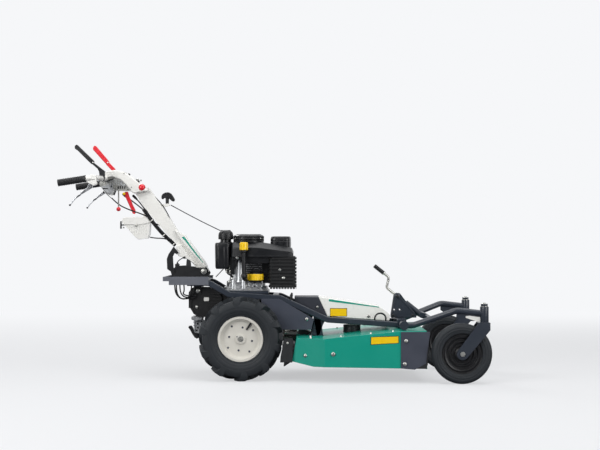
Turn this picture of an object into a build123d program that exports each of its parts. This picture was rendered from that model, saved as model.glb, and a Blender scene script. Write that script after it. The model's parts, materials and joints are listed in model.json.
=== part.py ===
from build123d import *
import os
from math import atan2, cos, radians, sin

# Walk-behind mulching mower. +X is forward, +Y its left side, +Z up, in millimetres.
os.makedirs("parts", exist_ok=True)

# Clearances
seat_gap = 0.3  # between pieces that seat on a curved face
bore_gap = 0.05  # radial, of a shaft that turns in its bore
running_gap = 6.0  # between pieces that pass each other
overrun = 2.0  # how far a cut goes past the face it opens

# Wheels
drive_radius = 207.5  # out to the lugs' flat tops
carcass_radius = 190.0
tyre_sides = 48
drive_width = 110.0
drive_track = 452.0
drive_x = -159.0
rim_radius = 111.0
rim_flange = 10.0
rim_width = 82.0
rim_sheet = 4.0
disc_depth = 24.0  # of the disc inside the rim's outer edge
flange_radius = 46.0  # of the axle's flange behind the disc
drive_axle_radius = 15.0
caster_radius = 146.0
caster_width = 68.0
caster_rim_radius = 107.0
caster_front_gap = 21.0  # from the deck's front to the casters' tyres
caster_trail = 110.0
caster_track = 700.0
caster_axle_radius = 8.0
caster_stem_radius = 10.0

# Main frame
rail_size = 28.0
rail_track = 290.0
rail_rear_x = -430.0
rail_low = 267.0
rail_high = 478.0
arm_pivot_back = 105.0  # from the deck's front back to the arm's pivot
housing_half = 22.0
arm_pivot_z = 277.0
arm_tube_radius = 15.0
plate_thickness = 5.0

# Deck
deck_rear_x = 94.0
deck_length = 651.0
deck_low = 72.0
deck_height = 182.0
deck_width = 680.0
deck_sheet = 4.0
blade_radius = 282.0
blade_share = 0.4655
blade_low = 116.0
blade_thick = 8.0

# Engine
engine_rear_x = -297.0
engine_length = 413.0
engine_low = 438.0
engine_height = 306.0
engine_width = 330.0

# Handlebar
handle_pivot_x = -353.0
handle_pivot_z = 534.0
handle_reach = 705.0
handle_rise = 439.0
handle_width = 546.0
column_width = 60.0
grip_radius = 18.0
grip_length = 140.0
bar_radius = 12.5

deck_front_x = deck_rear_x + deck_length
blade_x = deck_rear_x + deck_length * blade_share
arm_pivot_x = deck_front_x - arm_pivot_back
rail_front_x = arm_pivot_x - housing_half
caster_axle_x = deck_front_x + caster_front_gap + caster_radius
rail_y = rail_track / 2
rail_half = rail_size / 2
rail_inner_y = rail_y - rail_half
rail_outer_y = rail_y + rail_half
drive_y = drive_track / 2
drive_z = drive_radius
caster_y = caster_track / 2
caster_z = caster_radius
steer_x = caster_axle_x + caster_trail


def spread(low, length, share):
    # place at a share of a length
    return low + length * share


def side_points(x_low, length, z_low, height, shares):
    # places in the side view from (along, up) shares of a box
    return [(spread(x_low, length, along), spread(z_low, height, up)) for along, up in shares]


def side_plane(y_place):
    # side view plane, its normal to -Y
    return Plane.XZ.offset(-y_place)


def side_block(points, y_low, y_high, rounding=0):
    # closed outline in the side view, from y_low to y_high
    with BuildPart() as block:
        with BuildSketch(side_plane(y_high)) as face:
            with BuildLine():
                Polyline(*points, close=True)
            make_face()
            if rounding:
                fillet(face.vertices(), rounding)
        extrude(amount=y_high - y_low)
    return block.part


def plan_block(points, z_low, z_high, rounding=0):
    # closed outline seen from above, from z_low to z_high
    with BuildPart() as block:
        with BuildSketch(Plane.XY.offset(z_low)) as face:
            with BuildLine():
                Polyline(*points, close=True)
            make_face()
            if rounding:
                fillet(face.vertices(), rounding)
        extrude(amount=z_high - z_low)
    return block.part


def cross_rod(x_place, z_place, radius, y_low, y_high):
    # round rod along Y
    with BuildPart() as rod:
        with BuildSketch(side_plane(y_high)):
            with Locations((x_place, z_place)):
                Circle(radius)
        extrude(amount=y_high - y_low)
    return rod.part


def post(x_place, y_place, radius, z_low, z_high):
    # round post along Z
    with BuildPart() as rod:
        with BuildSketch(Plane.XY.offset(z_low)):
            with Locations((x_place, y_place)):
                Circle(radius)
        extrude(amount=z_high - z_low)
    return rod.part


def rod_between(start, end, radius):
    # round rod from one place to another
    line = Vector(*end) - Vector(*start)
    with BuildPart() as rod:
        with BuildSketch(Plane(origin=start, z_dir=line)):
            Circle(radius)
        extrude(amount=line.length)
    return rod.part


def bent_tube(points, bends, radius):
    # round tube along straight runs joined by bends
    with BuildPart() as tube:
        with BuildLine() as route:
            FilletPolyline(*points, radius=bends)
        with BuildSketch(Plane(origin=route.line @ 0, z_dir=route.line % 0)):
            Circle(radius)
        sweep(path=route.line)
    return tube.part


def turned(profile, x_place, y_place, z_place):
    # body turned about the Y axis through a place, from (across, radius) points
    centre = Plane(origin=(x_place, y_place, z_place), x_dir=(0, 1, 0), z_dir=(1, 0, 0))
    with BuildPart() as body:
        with BuildSketch(centre):
            with BuildLine():
                Polyline(*profile, close=True)
            make_face()
        revolve(axis=Axis((x_place, y_place, z_place), (0, 1, 0)))
    return body.part


def faceted(profile, x_place, y_place, z_place):
    # body of flat facets about the Y axis through a place, from (across, radius to a facet) pairs
    with BuildPart() as body:
        for across, radius in profile:
            with BuildSketch(side_plane(y_place + across)):
                with Locations((x_place, z_place)):
                    RegularPolygon(
                        radius, tyre_sides, major_radius=False, rotation=180 / tyre_sides
                    )
        loft(ruled=True)
    return body.part


def flat_bar(points, y_low, y_high, width):
    # flat bar along places in the side view, round at its corners and ends
    with BuildPart() as bar:
        for start, end in zip(points, points[1:]):
            with BuildSketch(side_plane(y_high)):
                with Locations(start, end):
                    Circle(width / 2)
                make_hull()
            extrude(amount=y_high - y_low)
    return bar.part


def handle_place(along, up):
    # share of the handle's reach behind the pivot and of its rise above it
    return (handle_pivot_x - handle_reach * along, handle_pivot_z + handle_rise * up)


# Main rails: two bent square tubes, from under the rear tray down to the arm pivot
rail_length = rail_front_x - rail_rear_x
rail_rise = rail_high - rail_low
rail_shares = [(0, 1), (0.107, 1), (0.2, 0.725), (0.442, 0.649), (0.667, 0.137), (1.01, 0.018)]
rail_bend = 40.0
rail_points = side_points(rail_rear_x, rail_length, rail_low, rail_rise, rail_shares)
with BuildPart() as main_rails:
    for side in (-1, 1):
        with BuildLine() as rail_route:
            FilletPolyline(
                *[(x, side * rail_y, z) for x, z in rail_points], radius=rail_bend
            )
        with BuildSketch(Plane.YZ.offset(rail_rear_x)):
            with Locations((side * rail_y, rail_high)):
                RectangleRounded(rail_size, rail_size, plate_thickness)
        sweep(path=rail_route.line)
    split(bisect_by=Plane.YZ.offset(rail_front_x), keep=Keep.BOTTOM)
main_rails.part.label = "main_rails"
export_step(main_rails.part, "parts/main_rails.step")


def rail_centre(x_place):
    # height of the rails' centre line, and its slope, at a place along X
    for (x_a, z_a), (x_b, z_b) in zip(rail_points, rail_points[1:]):
        if x_place <= x_b or (x_b, z_b) == rail_points[-1]:
            slope = (z_b - z_a) / (x_b - x_a)
            return z_a + slope * (x_place - x_a), slope


# Cross members: square tubes between the rails, set to the rails' slope
cross_shares = [0.075, 0.42, 0.7, 0.95]
with BuildPart() as cross_members:
    for along in cross_shares:
        cross_x = spread(rail_rear_x, rail_length, along)
        cross_z, cross_slope = rail_centre(cross_x)
        tilted = Plane(
            origin=(cross_x, rail_inner_y, cross_z), x_dir=(1, 0, cross_slope), z_dir=(0, -1, 0)
        )
        with BuildSketch(tilted):
            Rectangle(rail_size, rail_size)
        extrude(amount=2 * rail_inner_y)
cross_members.part.label = "cross_members"
export_step(cross_members.part, "parts/cross_members.step")

# Pivot housing of the front arm: a square block across the rails' front ends
with BuildPart() as pivot_housing:
    with BuildSketch(side_plane(rail_outer_y)):
        with Locations((arm_pivot_x, arm_pivot_z)):
            RectangleRounded(2 * housing_half, 2 * housing_half, plate_thickness)
            Circle(arm_tube_radius + bore_gap, mode=Mode.SUBTRACT)
    extrude(amount=2 * rail_outer_y)
pivot_housing.part.label = "pivot_housing"
export_step(pivot_housing.part, "parts/pivot_housing.step")

# Gearbox between the drive wheels, with an axle tube at each side
gearbox_length = 202.0
gearbox_x = drive_x - gearbox_length / 2
gearbox_low = 128.0
gearbox_height = 292.0
gearbox_width = 150.0
gearbox_shares = [(0.2, 0), (0.8, 0), (1, 0.2), (1, 0.75), (0.8, 1), (0.2, 1), (0, 0.8), (0, 0.2)]
gearbox_rounding = 14.0
axle_tube_radius = 34.0
axle_tube_y = 128.0
gearbox_points = side_points(
    gearbox_x, gearbox_length, gearbox_low, gearbox_height, gearbox_shares
)
with BuildPart() as gearbox:
    add(side_block(gearbox_points, -gearbox_width / 2, gearbox_width / 2, gearbox_rounding))
    add(cross_rod(drive_x, drive_z, axle_tube_radius, -axle_tube_y, axle_tube_y))
    for side in (-1, 1):
        y_ends = sorted((side * gearbox_width / 4, side * (axle_tube_y + overrun)))
        add(
            cross_rod(drive_x, drive_z, drive_axle_radius + bore_gap, *y_ends),
            mode=Mode.SUBTRACT,
        )
gearbox.part.label = "gearbox"
export_step(gearbox.part, "parts/gearbox.step")

# Engine plate between the rails, over the gearbox
engine_plate_thick = 14.0
engine_plate_shares = (0.126, 0.66)
engine_plate_x = spread(engine_rear_x, engine_length, engine_plate_shares[0])
engine_plate_length = engine_length * (engine_plate_shares[1] - engine_plate_shares[0])
with BuildPart() as engine_plate:
    with BuildSketch(Plane.XY.offset(engine_low - engine_plate_thick)):
        with Locations((engine_plate_x + engine_plate_length / 2, 0)):
            Rectangle(engine_plate_length, 2 * rail_inner_y)
    extrude(amount=engine_plate_thick)
engine_plate.part.label = "engine_plate"
export_step(engine_plate.part, "parts/engine_plate.step")


def engine_points(shares):
    return side_points(engine_rear_x, engine_length, engine_low, engine_height, shares)


def engine_z(share):
    return spread(engine_low, engine_height, share)


def engine_x(share):
    return spread(engine_rear_x, engine_length, share)


# Engine blocks, as (along, up) shares of the engine's box and a share of its width
engine_rounding = 6.0
crankcase_shares = [
    (0.19, 0), (0.63, 0), (0.66, 0.2), (0.66, 0.4), (0.6, 0.565), (0.2, 0.565), (0.169, 0.3),
]
with BuildPart() as crankcase:
    crankcase_half = engine_width * 0.3
    add(side_block(engine_points(crankcase_shares), -crankcase_half, crankcase_half, engine_rounding))
crankcase.part.label = "crankcase"
export_step(crankcase.part, "parts/crankcase.step")

shroud_shares = [
    (0.206, 0.565), (0.94, 0.565), (0.961, 0.6), (0.94, 0.73), (0.67, 0.78), (0.55, 0.797), (0.206, 0.797),
]
shroud_shoulder = 43.0  # how far in the sloping shoulders reach
shroud_drop = 28.0
with BuildPart() as engine_shroud:
    shroud_low = engine_z(shroud_shares[0][1])
    shroud_top = engine_z(shroud_shares[-1][1])
    add(side_block(engine_points(shroud_shares), -engine_width / 2, engine_width / 2))
    with BuildSketch(Plane.YZ.offset(engine_rear_x)):
        Polygon(
            (-engine_width / 2, shroud_low),
            (engine_width / 2, shroud_low),
            (engine_width / 2, shroud_top - shroud_drop),
            (engine_width / 2 - shroud_shoulder, shroud_top),
            (shroud_shoulder - engine_width / 2, shroud_top),
            (-engine_width / 2, shroud_top - shroud_drop),
            align=None,
        )
    extrude(amount=engine_length, mode=Mode.INTERSECT)
engine_shroud.part.label = "engine_shroud"
export_step(engine_shroud.part, "parts/engine_shroud.step")

recoil_x_shares = (0.225, 0.588)
recoil_z_shares = (0.797, 0.931)
recoil_half = engine_width * 0.36
recoil_corner = 55.0
with BuildPart() as recoil_cover:
    recoil_x = (engine_x(recoil_x_shares[0]), engine_x(recoil_x_shares[1]))
    recoil_z = (engine_z(recoil_z_shares[0]), engine_z(recoil_z_shares[1]))
    with BuildSketch(Plane.XY.offset(recoil_z[0])):
        with Locations(((recoil_x[0] + recoil_x[1]) / 2, 0)):
            RectangleRounded(recoil_x[1] - recoil_x[0], 2 * recoil_half, recoil_corner)
    extrude(amount=recoil_z[1] - recoil_z[0])
    chamfer(recoil_cover.faces().sort_by(Axis.Z)[-1].edges(), 2 * engine_rounding)
recoil_cover.part.label = "recoil_cover"
export_step(recoil_cover.part, "parts/recoil_cover.step")

# Fuel tank behind the shroud, with its neck and knurled cap
tank_shares = [
    (0, 0.42), (0.04, 0.356), (0.165, 0.356), (0.165, 0.565), (0.206, 0.565),
    (0.206, 0.788), (0.03, 0.788), (0, 0.74),
]
tank_half = engine_width * 0.42
cap_x = engine_x(0.126)
cap_y_share = -0.15
cap_radius = 38.0
with BuildPart() as fuel_tank:
    add(side_block(engine_points(tank_shares), -tank_half, tank_half, engine_rounding))
    add(post(cap_x, cap_y_share * engine_width, cap_radius * 0.7, engine_z(0.78), engine_z(0.86)))
    add(post(cap_x, cap_y_share * engine_width, cap_radius, engine_z(0.853), engine_z(1)))
    fillet(fuel_tank.edges().sort_by(Axis.Z)[-1], engine_rounding)
fuel_tank.part.label = "fuel_tank"
export_step(fuel_tank.part, "parts/fuel_tank.step")

# Air cleaner box on the front half of the shroud
air_shares = [(0.673, 0.75), (0.93, 0.71), (0.93, 0.84), (0.9, 0.895), (0.7, 0.895), (0.673, 0.86)]
air_half = engine_width * 0.36
with BuildPart() as air_box:
    add(side_block(engine_points(air_shares), -air_half, air_half, engine_rounding))
    add(engine_shroud.part, mode=Mode.SUBTRACT)
air_box.part.label = "air_box"
export_step(air_box.part, "parts/air_box.step")

# Muffler guard under the front of the shroud
muffler_shares = [
    (0.675, 0.04), (0.7, 0.02), (0.985, 0.02), (0.985, 0.5), (0.94, 0.565), (0.675, 0.565),
]
muffler_y_shares = (-0.48, 0.3)
guard_rib = 6.5
guard_rib_high = 7.0
guard_rib_shares = [0.05, 0.13, 0.21, 0.3, 0.39, 0.47]
with BuildPart() as muffler:
    guard_low = muffler_y_shares[0] * engine_width
    guard_high = muffler_y_shares[1] * engine_width
    add(side_block(engine_points(muffler_shares), guard_low + guard_rib, guard_high - guard_rib))
    guard_x = (engine_x(muffler_shares[0][0]), engine_x(1))
    for up in guard_rib_shares:
        with BuildSketch(Plane.XY.offset(engine_z(up))):
            with Locations(((guard_x[0] + guard_x[1]) / 2, (guard_low + guard_high) / 2)):
                Rectangle(guard_x[1] - guard_x[0], guard_high - guard_low)
        extrude(amount=guard_rib_high)
muffler.part.label = "muffler"
export_step(muffler.part, "parts/muffler.step")

# Oil filler: tube up the near side to its yellow cap
oil_x = engine_x(0.36)
oil_reach = 14.0  # of the tube outside the shroud
oil_y = -engine_width / 2 - oil_reach
oil_tube_radius = 10.0
oil_cap_radius = 21.0
with BuildPart() as oil_filler:
    add(post(oil_x, oil_y, oil_tube_radius, engine_z(0.22), engine_z(0.68)))
    add(post(oil_x, oil_y, oil_cap_radius, engine_z(0.67), engine_z(0.788)))
    add(
        rod_between(
            (oil_x, oil_y, engine_z(0.26)), (oil_x, -crankcase_half, engine_z(0.26)), oil_tube_radius
        )
    )
    add(engine_shroud.part, mode=Mode.SUBTRACT)
oil_filler.part.label = "oil_filler"
export_step(oil_filler.part, "parts/oil_filler.step")

# Oil filter upright on the near side of the crankcase, with a grip on its top
filter_radius = 40.0
filter_reach = 17.0
filter_y = -crankcase_half - filter_reach
filter_grip_radius = 24.0
with BuildPart() as oil_filter:
    add(post(engine_x(0.5), filter_y, filter_radius, engine_z(0.173), engine_z(0.278)))
    add(post(engine_x(0.5), filter_y, filter_grip_radius, engine_z(0.278), engine_z(0.35)))
    add(crankcase.part, mode=Mode.SUBTRACT)
oil_filter.part.label = "oil_filter"
export_step(oil_filter.part, "parts/oil_filter.step")

# Rear housing behind the gearbox
housing_rear_x = -428.0
rear_housing_low = 305.0
rear_housing_high = 452.0
rear_housing_half = 78.0
rear_housing_shares = [(0, 0.5), (0.13, 0.2), (0.3, 0), (1, 0), (1, 0.66), (0.85, 1), (0.1, 1), (0, 0.85)]
with BuildPart() as rear_housing:
    rear_points = side_points(
        housing_rear_x,
        gearbox_x - housing_rear_x,
        rear_housing_low,
        rear_housing_high - rear_housing_low,
        rear_housing_shares,
    )
    add(side_block(rear_points, -rear_housing_half, rear_housing_half))
rear_housing.part.label = "rear_housing"
export_step(rear_housing.part, "parts/rear_housing.step")

# Rear hitch casting under the housing, with a pin bore and a hook
hitch_x = -389.0
hitch_low = 215.0
hitch_radius = 29.0
hitch_pin_radius = 8.0
hitch_web = 26.0
hook_shares = [(0, 0.8), (0.05, 1), (0.24, 1.06), (0.42, 0.86), (1, 0.6), (1, 0), (0.8, 0.03), (0.3, 0.5)]
hook_low = 190.0
hook_high = 258.0
hook_rear_x = -437.0
with BuildPart() as rear_hitch:
    add(post(hitch_x, 0, hitch_radius, hitch_low, rear_housing_low))
    with BuildSketch(Plane.XY.offset(rear_housing_low - hitch_web / 2)):
        with Locations((hitch_x, 0)):
            Rectangle(2 * hitch_radius, 4 * hitch_radius)
    extrude(amount=hitch_web / 2)
    hook_length = hitch_x - 1.5 * hitch_pin_radius - hook_rear_x
    hook_points = side_points(
        hook_rear_x, hook_length, hook_low, hook_high - hook_low, hook_shares
    )
    add(side_block(hook_points, -hitch_web / 4, hitch_web / 4))
    add(
        post(hitch_x, 0, hitch_pin_radius, hook_low - overrun, hitch_low + 2 * hitch_web),
        mode=Mode.SUBTRACT,
    )
rear_hitch.part.label = "rear_hitch"
export_step(rear_hitch.part, "parts/rear_hitch.step")

# Tray over the rails' rear ends, its skirt down past them
tray_rear_x = -550.0
tray_front_x = -322.0
tray_sheet = 4.0
tray_low = 469.0
tray_rim = 510.0
lip_length = 30.0  # of the tray's rear lip, which has no skirt below it
tray_floor = rail_high + rail_half
tray_outer_y = rail_outer_y + tray_sheet + seat_gap
with BuildPart() as tray:
    with BuildSketch(Plane.XY.offset(tray_low)):
        with Locations(((tray_rear_x + tray_front_x) / 2, 0)):
            RectangleRounded(tray_front_x - tray_rear_x, 2 * tray_outer_y, 2 * tray_sheet)
    extrude(amount=tray_rim - tray_low)
    with BuildSketch(Plane.XY.offset(tray_low - overrun)):
        with Locations(((tray_rear_x + tray_front_x) / 2 + tray_sheet, 0)):
            Rectangle(tray_front_x - tray_rear_x, 2 * (tray_outer_y - tray_sheet))
    extrude(amount=tray_floor - tray_low + overrun, mode=Mode.SUBTRACT)
    with BuildSketch(Plane.XY.offset(tray_floor + tray_sheet)):
        with Locations(((tray_rear_x + tray_front_x) / 2 + tray_sheet, 0)):
            Rectangle(tray_front_x - tray_rear_x, 2 * (tray_outer_y - tray_sheet))
    extrude(amount=tray_rim - tray_floor, mode=Mode.SUBTRACT)
    with BuildSketch(Plane.XY.offset(tray_low - overrun)):
        with Locations((tray_rear_x + lip_length / 2, 0)):
            Rectangle(lip_length, 2 * (tray_outer_y + overrun))
    extrude(amount=tray_floor - tray_sheet - tray_low + overrun, mode=Mode.SUBTRACT)
tray.part.label = "tray"
export_step(tray.part, "parts/tray.step")

# Pivot bracket on the tray: two cheeks for the handle's pin, and a moulded cover behind
pivot_pin_radius = 8.0
cheek_y = column_width / 2 + running_gap
cheek_thick = 12.0
bracket_low = tray_floor + tray_sheet
cheek_shares = [(0, 0), (0.85, 0), (1, 0.5), (0.85, 0.95), (0.3, 0.98), (0, 1.05)]
cover_shares = [(0.1, 0), (1, 0), (1, 1.05), (0.7, 1.15), (0.27, 1.1), (0, 0.68)]
cheek_rear_x = -416.0
cheek_front_x = -326.0
cover_rear_x = -523.0
bracket_height = 59.0
latch_thick = 8.0
latch_shares = [
    (0.24, 0), (0.264, 0.027), (0.267, 0.143), (0.256, 0.195), (0.218, 0.288),
    (0.185, 0.221), (0.193, 0.195), (0.21, 0.212), (0.223, 0.173), (0.218, 0.036), (0.21, -0.02),
]
with BuildPart() as pivot_bracket:
    for side in (-1, 1):
        y_ends = sorted((side * cheek_y, side * (cheek_y + cheek_thick)))
        cheek_points = side_points(
            cheek_rear_x, cheek_front_x - cheek_rear_x, bracket_low, bracket_height, cheek_shares
        )
        add(side_block(cheek_points, *y_ends))
    cover_points = side_points(
        cover_rear_x, cheek_rear_x - cover_rear_x, bracket_low, bracket_height, cover_shares
    )
    add(side_block(cover_points, -cheek_y - cheek_thick, cheek_y + cheek_thick))
    latch_y = -cheek_y - cheek_thick
    add(side_block([handle_place(*share) for share in latch_shares], latch_y - latch_thick, latch_y))
    pin_end = cheek_y + cheek_thick + overrun
    add(
        cross_rod(handle_pivot_x, handle_pivot_z, pivot_pin_radius + bore_gap, -pin_end, pin_end),
        mode=Mode.SUBTRACT,
    )
pivot_bracket.part.label = "pivot_bracket"
export_step(pivot_bracket.part, "parts/pivot_bracket.step")

# Belt cover: a bonnet between the rails, on the cross members
cover_share = 0.626
cover_x = spread(rail_rear_x, rail_length, cover_share)
cover_length = 357.0
cover_lean = 45.0
cover_shoulder = 53.0
shoulder_drop = 46.0
rear_cover_depth = 95.0
cover_half = 100.0
cover_rounding = 8.0
belt_rear_x = cover_x - 2.689 * cover_lean
cover_top = 407.0
cover_nose = 32.0


def rail_top(x_place):
    centre, slope = rail_centre(x_place)
    return centre + rail_half / cos(atan2(slope, 1))


nose_x = cover_x + cover_length
cover_outline = [
    (cover_x + cover_lean, rail_top(cover_x + cover_lean)),
    (nose_x, rail_top(nose_x)),
    (nose_x, rail_top(nose_x) + cover_nose),
    (nose_x - cover_shoulder, cover_top - shoulder_drop),
    (cover_x, cover_top),
]
with BuildPart() as belt_cover:
    add(side_block(cover_outline, -cover_half, cover_half))
    fillet(belt_cover.edges().filter_by(Axis.Y).sort_by(Axis.X)[-3:-1], cover_rounding)
belt_cover.part.label = "belt_cover"
export_step(belt_cover.part, "parts/belt_cover.step")

rear_cover_outline = [
    (belt_rear_x, cover_top - rear_cover_depth),
    (cover_x + cover_lean, rail_top(cover_x + cover_lean)),
    (cover_x, cover_top),
    (belt_rear_x, cover_top),
]
with BuildPart() as belt_cover_rear:
    add(side_block(rear_cover_outline, -cover_half, cover_half))
belt_cover_rear.part.label = "belt_cover_rear"
export_step(belt_cover_rear.part, "parts/belt_cover_rear.step")

# Side plates: dark plates on the rails' outer faces over the wheels, and the deck's front corners
side_plate_shares = [(0, 0), (0.95, 0), (1, 0.35), (0.34, 1), (0, 1)]
side_plate_x = -60.0
side_plate_length = 262.0
side_plate_low = 247.0
side_plate_height = 153.0
front_plate_shares = [(0, 0.03), (0.48, 0), (0.86, 0.16), (1, 0.95), (1, 1), (0, 1)]
front_plate_length = 141.0
front_plate_x = deck_front_x + caster_front_gap * 0.76 - front_plate_length
with BuildPart() as side_plates:
    for side in (-1, 1):
        y_ends = sorted((side * rail_outer_y, side * (rail_outer_y + plate_thickness)))
        add(
            side_block(
                side_points(
                    side_plate_x, side_plate_length, side_plate_low, side_plate_height, side_plate_shares
                ),
                *y_ends,
            )
        )
        y_ends = sorted((side * deck_width / 2, side * (deck_width / 2 + plate_thickness)))
        add(
            side_block(
                side_points(
                    front_plate_x,
                    front_plate_length,
                    deck_low - plate_thickness,
                    deck_height,
                    front_plate_shares,
                ),
                *y_ends,
            )
        )
side_plates.part.label = "side_plates"
export_step(side_plates.part, "parts/side_plates.step")

# Deck: one sheet shell, open below, narrower at its rear
deck_shares = [
    (0, 0.165), (0.034, 0.786), (0.243, 0.786), (0.808, 0.984), (1, 1), (1, 0), (0.808, 0), (0.16, 0.038),
]
deck_rear_half = 290.0
deck_taper_share = 0.243
deck_half = deck_width / 2


def deck_body(inset, drop):
    # the deck's solid form, smaller by an inset on all sides and lower by a drop
    top = side_points(deck_rear_x, deck_length, deck_low, deck_height, deck_shares)
    outline = []
    for place, (x, z) in enumerate(top):
        x_in = x + inset if x < blade_x else x - inset if x >= deck_front_x else x
        z_in = z - inset if 1 <= place <= 4 else z - drop
        outline.append((x_in, z_in))
    taper_x = spread(deck_rear_x, deck_length, deck_taper_share)
    plan = [
        (deck_rear_x - overrun, -deck_rear_half + inset),
        (taper_x, -deck_half + inset),
        (deck_front_x + overrun, -deck_half + inset),
        (deck_front_x + overrun, deck_half - inset),
        (taper_x, deck_half - inset),
        (deck_rear_x - overrun, deck_rear_half - inset),
    ]
    with BuildPart() as body:
        add(side_block(outline, -deck_half, deck_half))
        add(plan_block(plan, -overrun, deck_low + 2 * deck_height), mode=Mode.INTERSECT)
    return body.part


spindle_radius = 44.0
spindle_low = 190.0
spindle_high = 262.0
spindle_roof = 20.0  # solid above the shaft's bore
with BuildPart() as deck_shell:
    add(deck_body(0, 0))
    add(deck_body(deck_sheet, deck_height), mode=Mode.SUBTRACT)
    add(
        post(blade_x, 0, spindle_radius + seat_gap, spindle_low, spindle_high),
        mode=Mode.SUBTRACT,
    )
deck_shell.part.label = "deck_shell"
export_step(deck_shell.part, "parts/deck_shell.step")

# Spindle housing through the deck's top
blade_shaft_radius = 14.0
with BuildPart() as spindle_housing:
    add(post(blade_x, 0, spindle_radius, spindle_low, spindle_high))
    add(
        post(blade_x, 0, blade_shaft_radius + bore_gap, spindle_low - overrun, spindle_high - spindle_roof),
        mode=Mode.SUBTRACT,
    )
spindle_housing.part.label = "spindle_housing"
export_step(spindle_housing.part, "parts/spindle_housing.step")

# Blade rotor: a hub disc, two bars and a shaft up into the housing
blade_width = 62.0
hub_radius = 60.0
with BuildPart() as blade:
    with BuildSketch(Plane.XY.offset(blade_low)):
        with Locations((blade_x, 0)):
            Circle(hub_radius)
            Rectangle(2 * blade_radius - blade_width, blade_width)
            with GridLocations(2 * blade_radius - blade_width, 0, 2, 1):
                Circle(blade_width / 2)
    extrude(amount=blade_thick)
    add(post(blade_x, 0, hub_radius / 2, blade_low, spindle_low - running_gap))
    add(post(blade_x, 0, blade_shaft_radius, blade_low, spindle_high - spindle_roof - overrun))
blade.part.label = "blade"
export_step(blade.part, "parts/blade.step")

# Hanger struts from the rails' inner faces down to the deck's flat rear top
hanger_width = 35.0
hanger_top_x = 215.0
hanger_foot_x = 232.0
hanger_thick = 8.0
deck_flat_z = spread(deck_low, deck_height, 0.786)
with BuildPart() as deck_hangers:
    for side in (-1, 1):
        hanger_top = rail_centre(hanger_top_x)[0]
        strut = [
            (hanger_foot_x - hanger_width / 2, deck_flat_z),
            (hanger_foot_x + hanger_width / 2, deck_flat_z),
            (hanger_top_x + hanger_width / 2, hanger_top),
            (hanger_top_x - hanger_width / 2, hanger_top),
        ]
        y_ends = sorted((side * (rail_inner_y - hanger_thick), side * rail_inner_y))
        add(side_block(strut, *y_ends))
deck_hangers.part.label = "deck_hangers"
export_step(deck_hangers.part, "parts/deck_hangers.step")

# Coupling sleeve from the gearbox to the deck's rear wall
sleeve_radius = 18.0
sleeve_z = 196.0
with BuildPart() as coupling_sleeve:
    add(
        rod_between(
            (gearbox_x + gearbox_length, 0, sleeve_z),
            (deck_rear_x + 2 * sleeve_radius, 0, sleeve_z),
            sleeve_radius,
        )
    )
    add(deck_body(0, 0), mode=Mode.SUBTRACT)
coupling_sleeve.part.label = "coupling_sleeve"
export_step(coupling_sleeve.part, "parts/coupling_sleeve.step")

# Rubber flaps at the deck's rear and front edges
flap_thick = 6.0
flap_low = 78.0
flap_height = 122.0
flap_lean = 36.0
front_flap_low = 66.0
front_flap_height = 150.0
front_flap_half = 306.0
with BuildPart() as deck_flaps:
    rear_low, rear_high = [
        (spread(deck_rear_x, deck_length, a), spread(deck_low, deck_height, b)) for a, b in deck_shares[:2]
    ]
    flap_slope = (rear_high[0] - rear_low[0]) / (rear_high[1] - rear_low[1])
    flap_points = [
        rear_low,
        (rear_low[0] + flap_slope * flap_height / 2, rear_low[1] + flap_height / 2),
        (rear_low[0] + flap_slope * flap_height / 2 - flap_thick, rear_low[1] + flap_height / 2),
        (rear_low[0] - flap_lean - flap_thick, flap_low),
        (rear_low[0] - flap_lean, flap_low),
    ]
    add(side_block(flap_points, -deck_rear_half, deck_rear_half))
    front_points = [
        (deck_front_x, front_flap_low),
        (deck_front_x + flap_thick, front_flap_low),
        (deck_front_x + flap_thick, front_flap_low + front_flap_height),
        (deck_front_x, front_flap_low + front_flap_height),
    ]
    add(side_block(front_points, -front_flap_half, front_flap_half))
deck_flaps.part.label = "deck_flaps"
export_step(deck_flaps.part, "parts/deck_flaps.step")

# Lift loops: bent rods on the rails' tops
loop_rod = 4.5
loop_x = 505.0
loop_length = 56.0
loop_height = 46.0
with BuildPart() as lift_loops:
    for side in (-1, 1):
        loop_seat = seat_gap + loop_rod * abs(rail_centre(loop_x)[1])
        foot_a = (loop_x, side * rail_y, rail_top(loop_x) + loop_seat)
        foot_b = (loop_x + loop_length, side * rail_y, rail_top(loop_x + loop_length) + loop_seat)
        add(
            bent_tube(
                [
                    foot_a,
                    (foot_a[0], foot_a[1], foot_a[2] + loop_height),
                    (foot_b[0], foot_b[1], foot_b[2] + loop_height),
                    foot_b,
                ],
                3 * loop_rod,
                loop_rod,
            )
        )
lift_loops.part.label = "lift_loops"
export_step(lift_loops.part, "parts/lift_loops.step")

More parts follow.
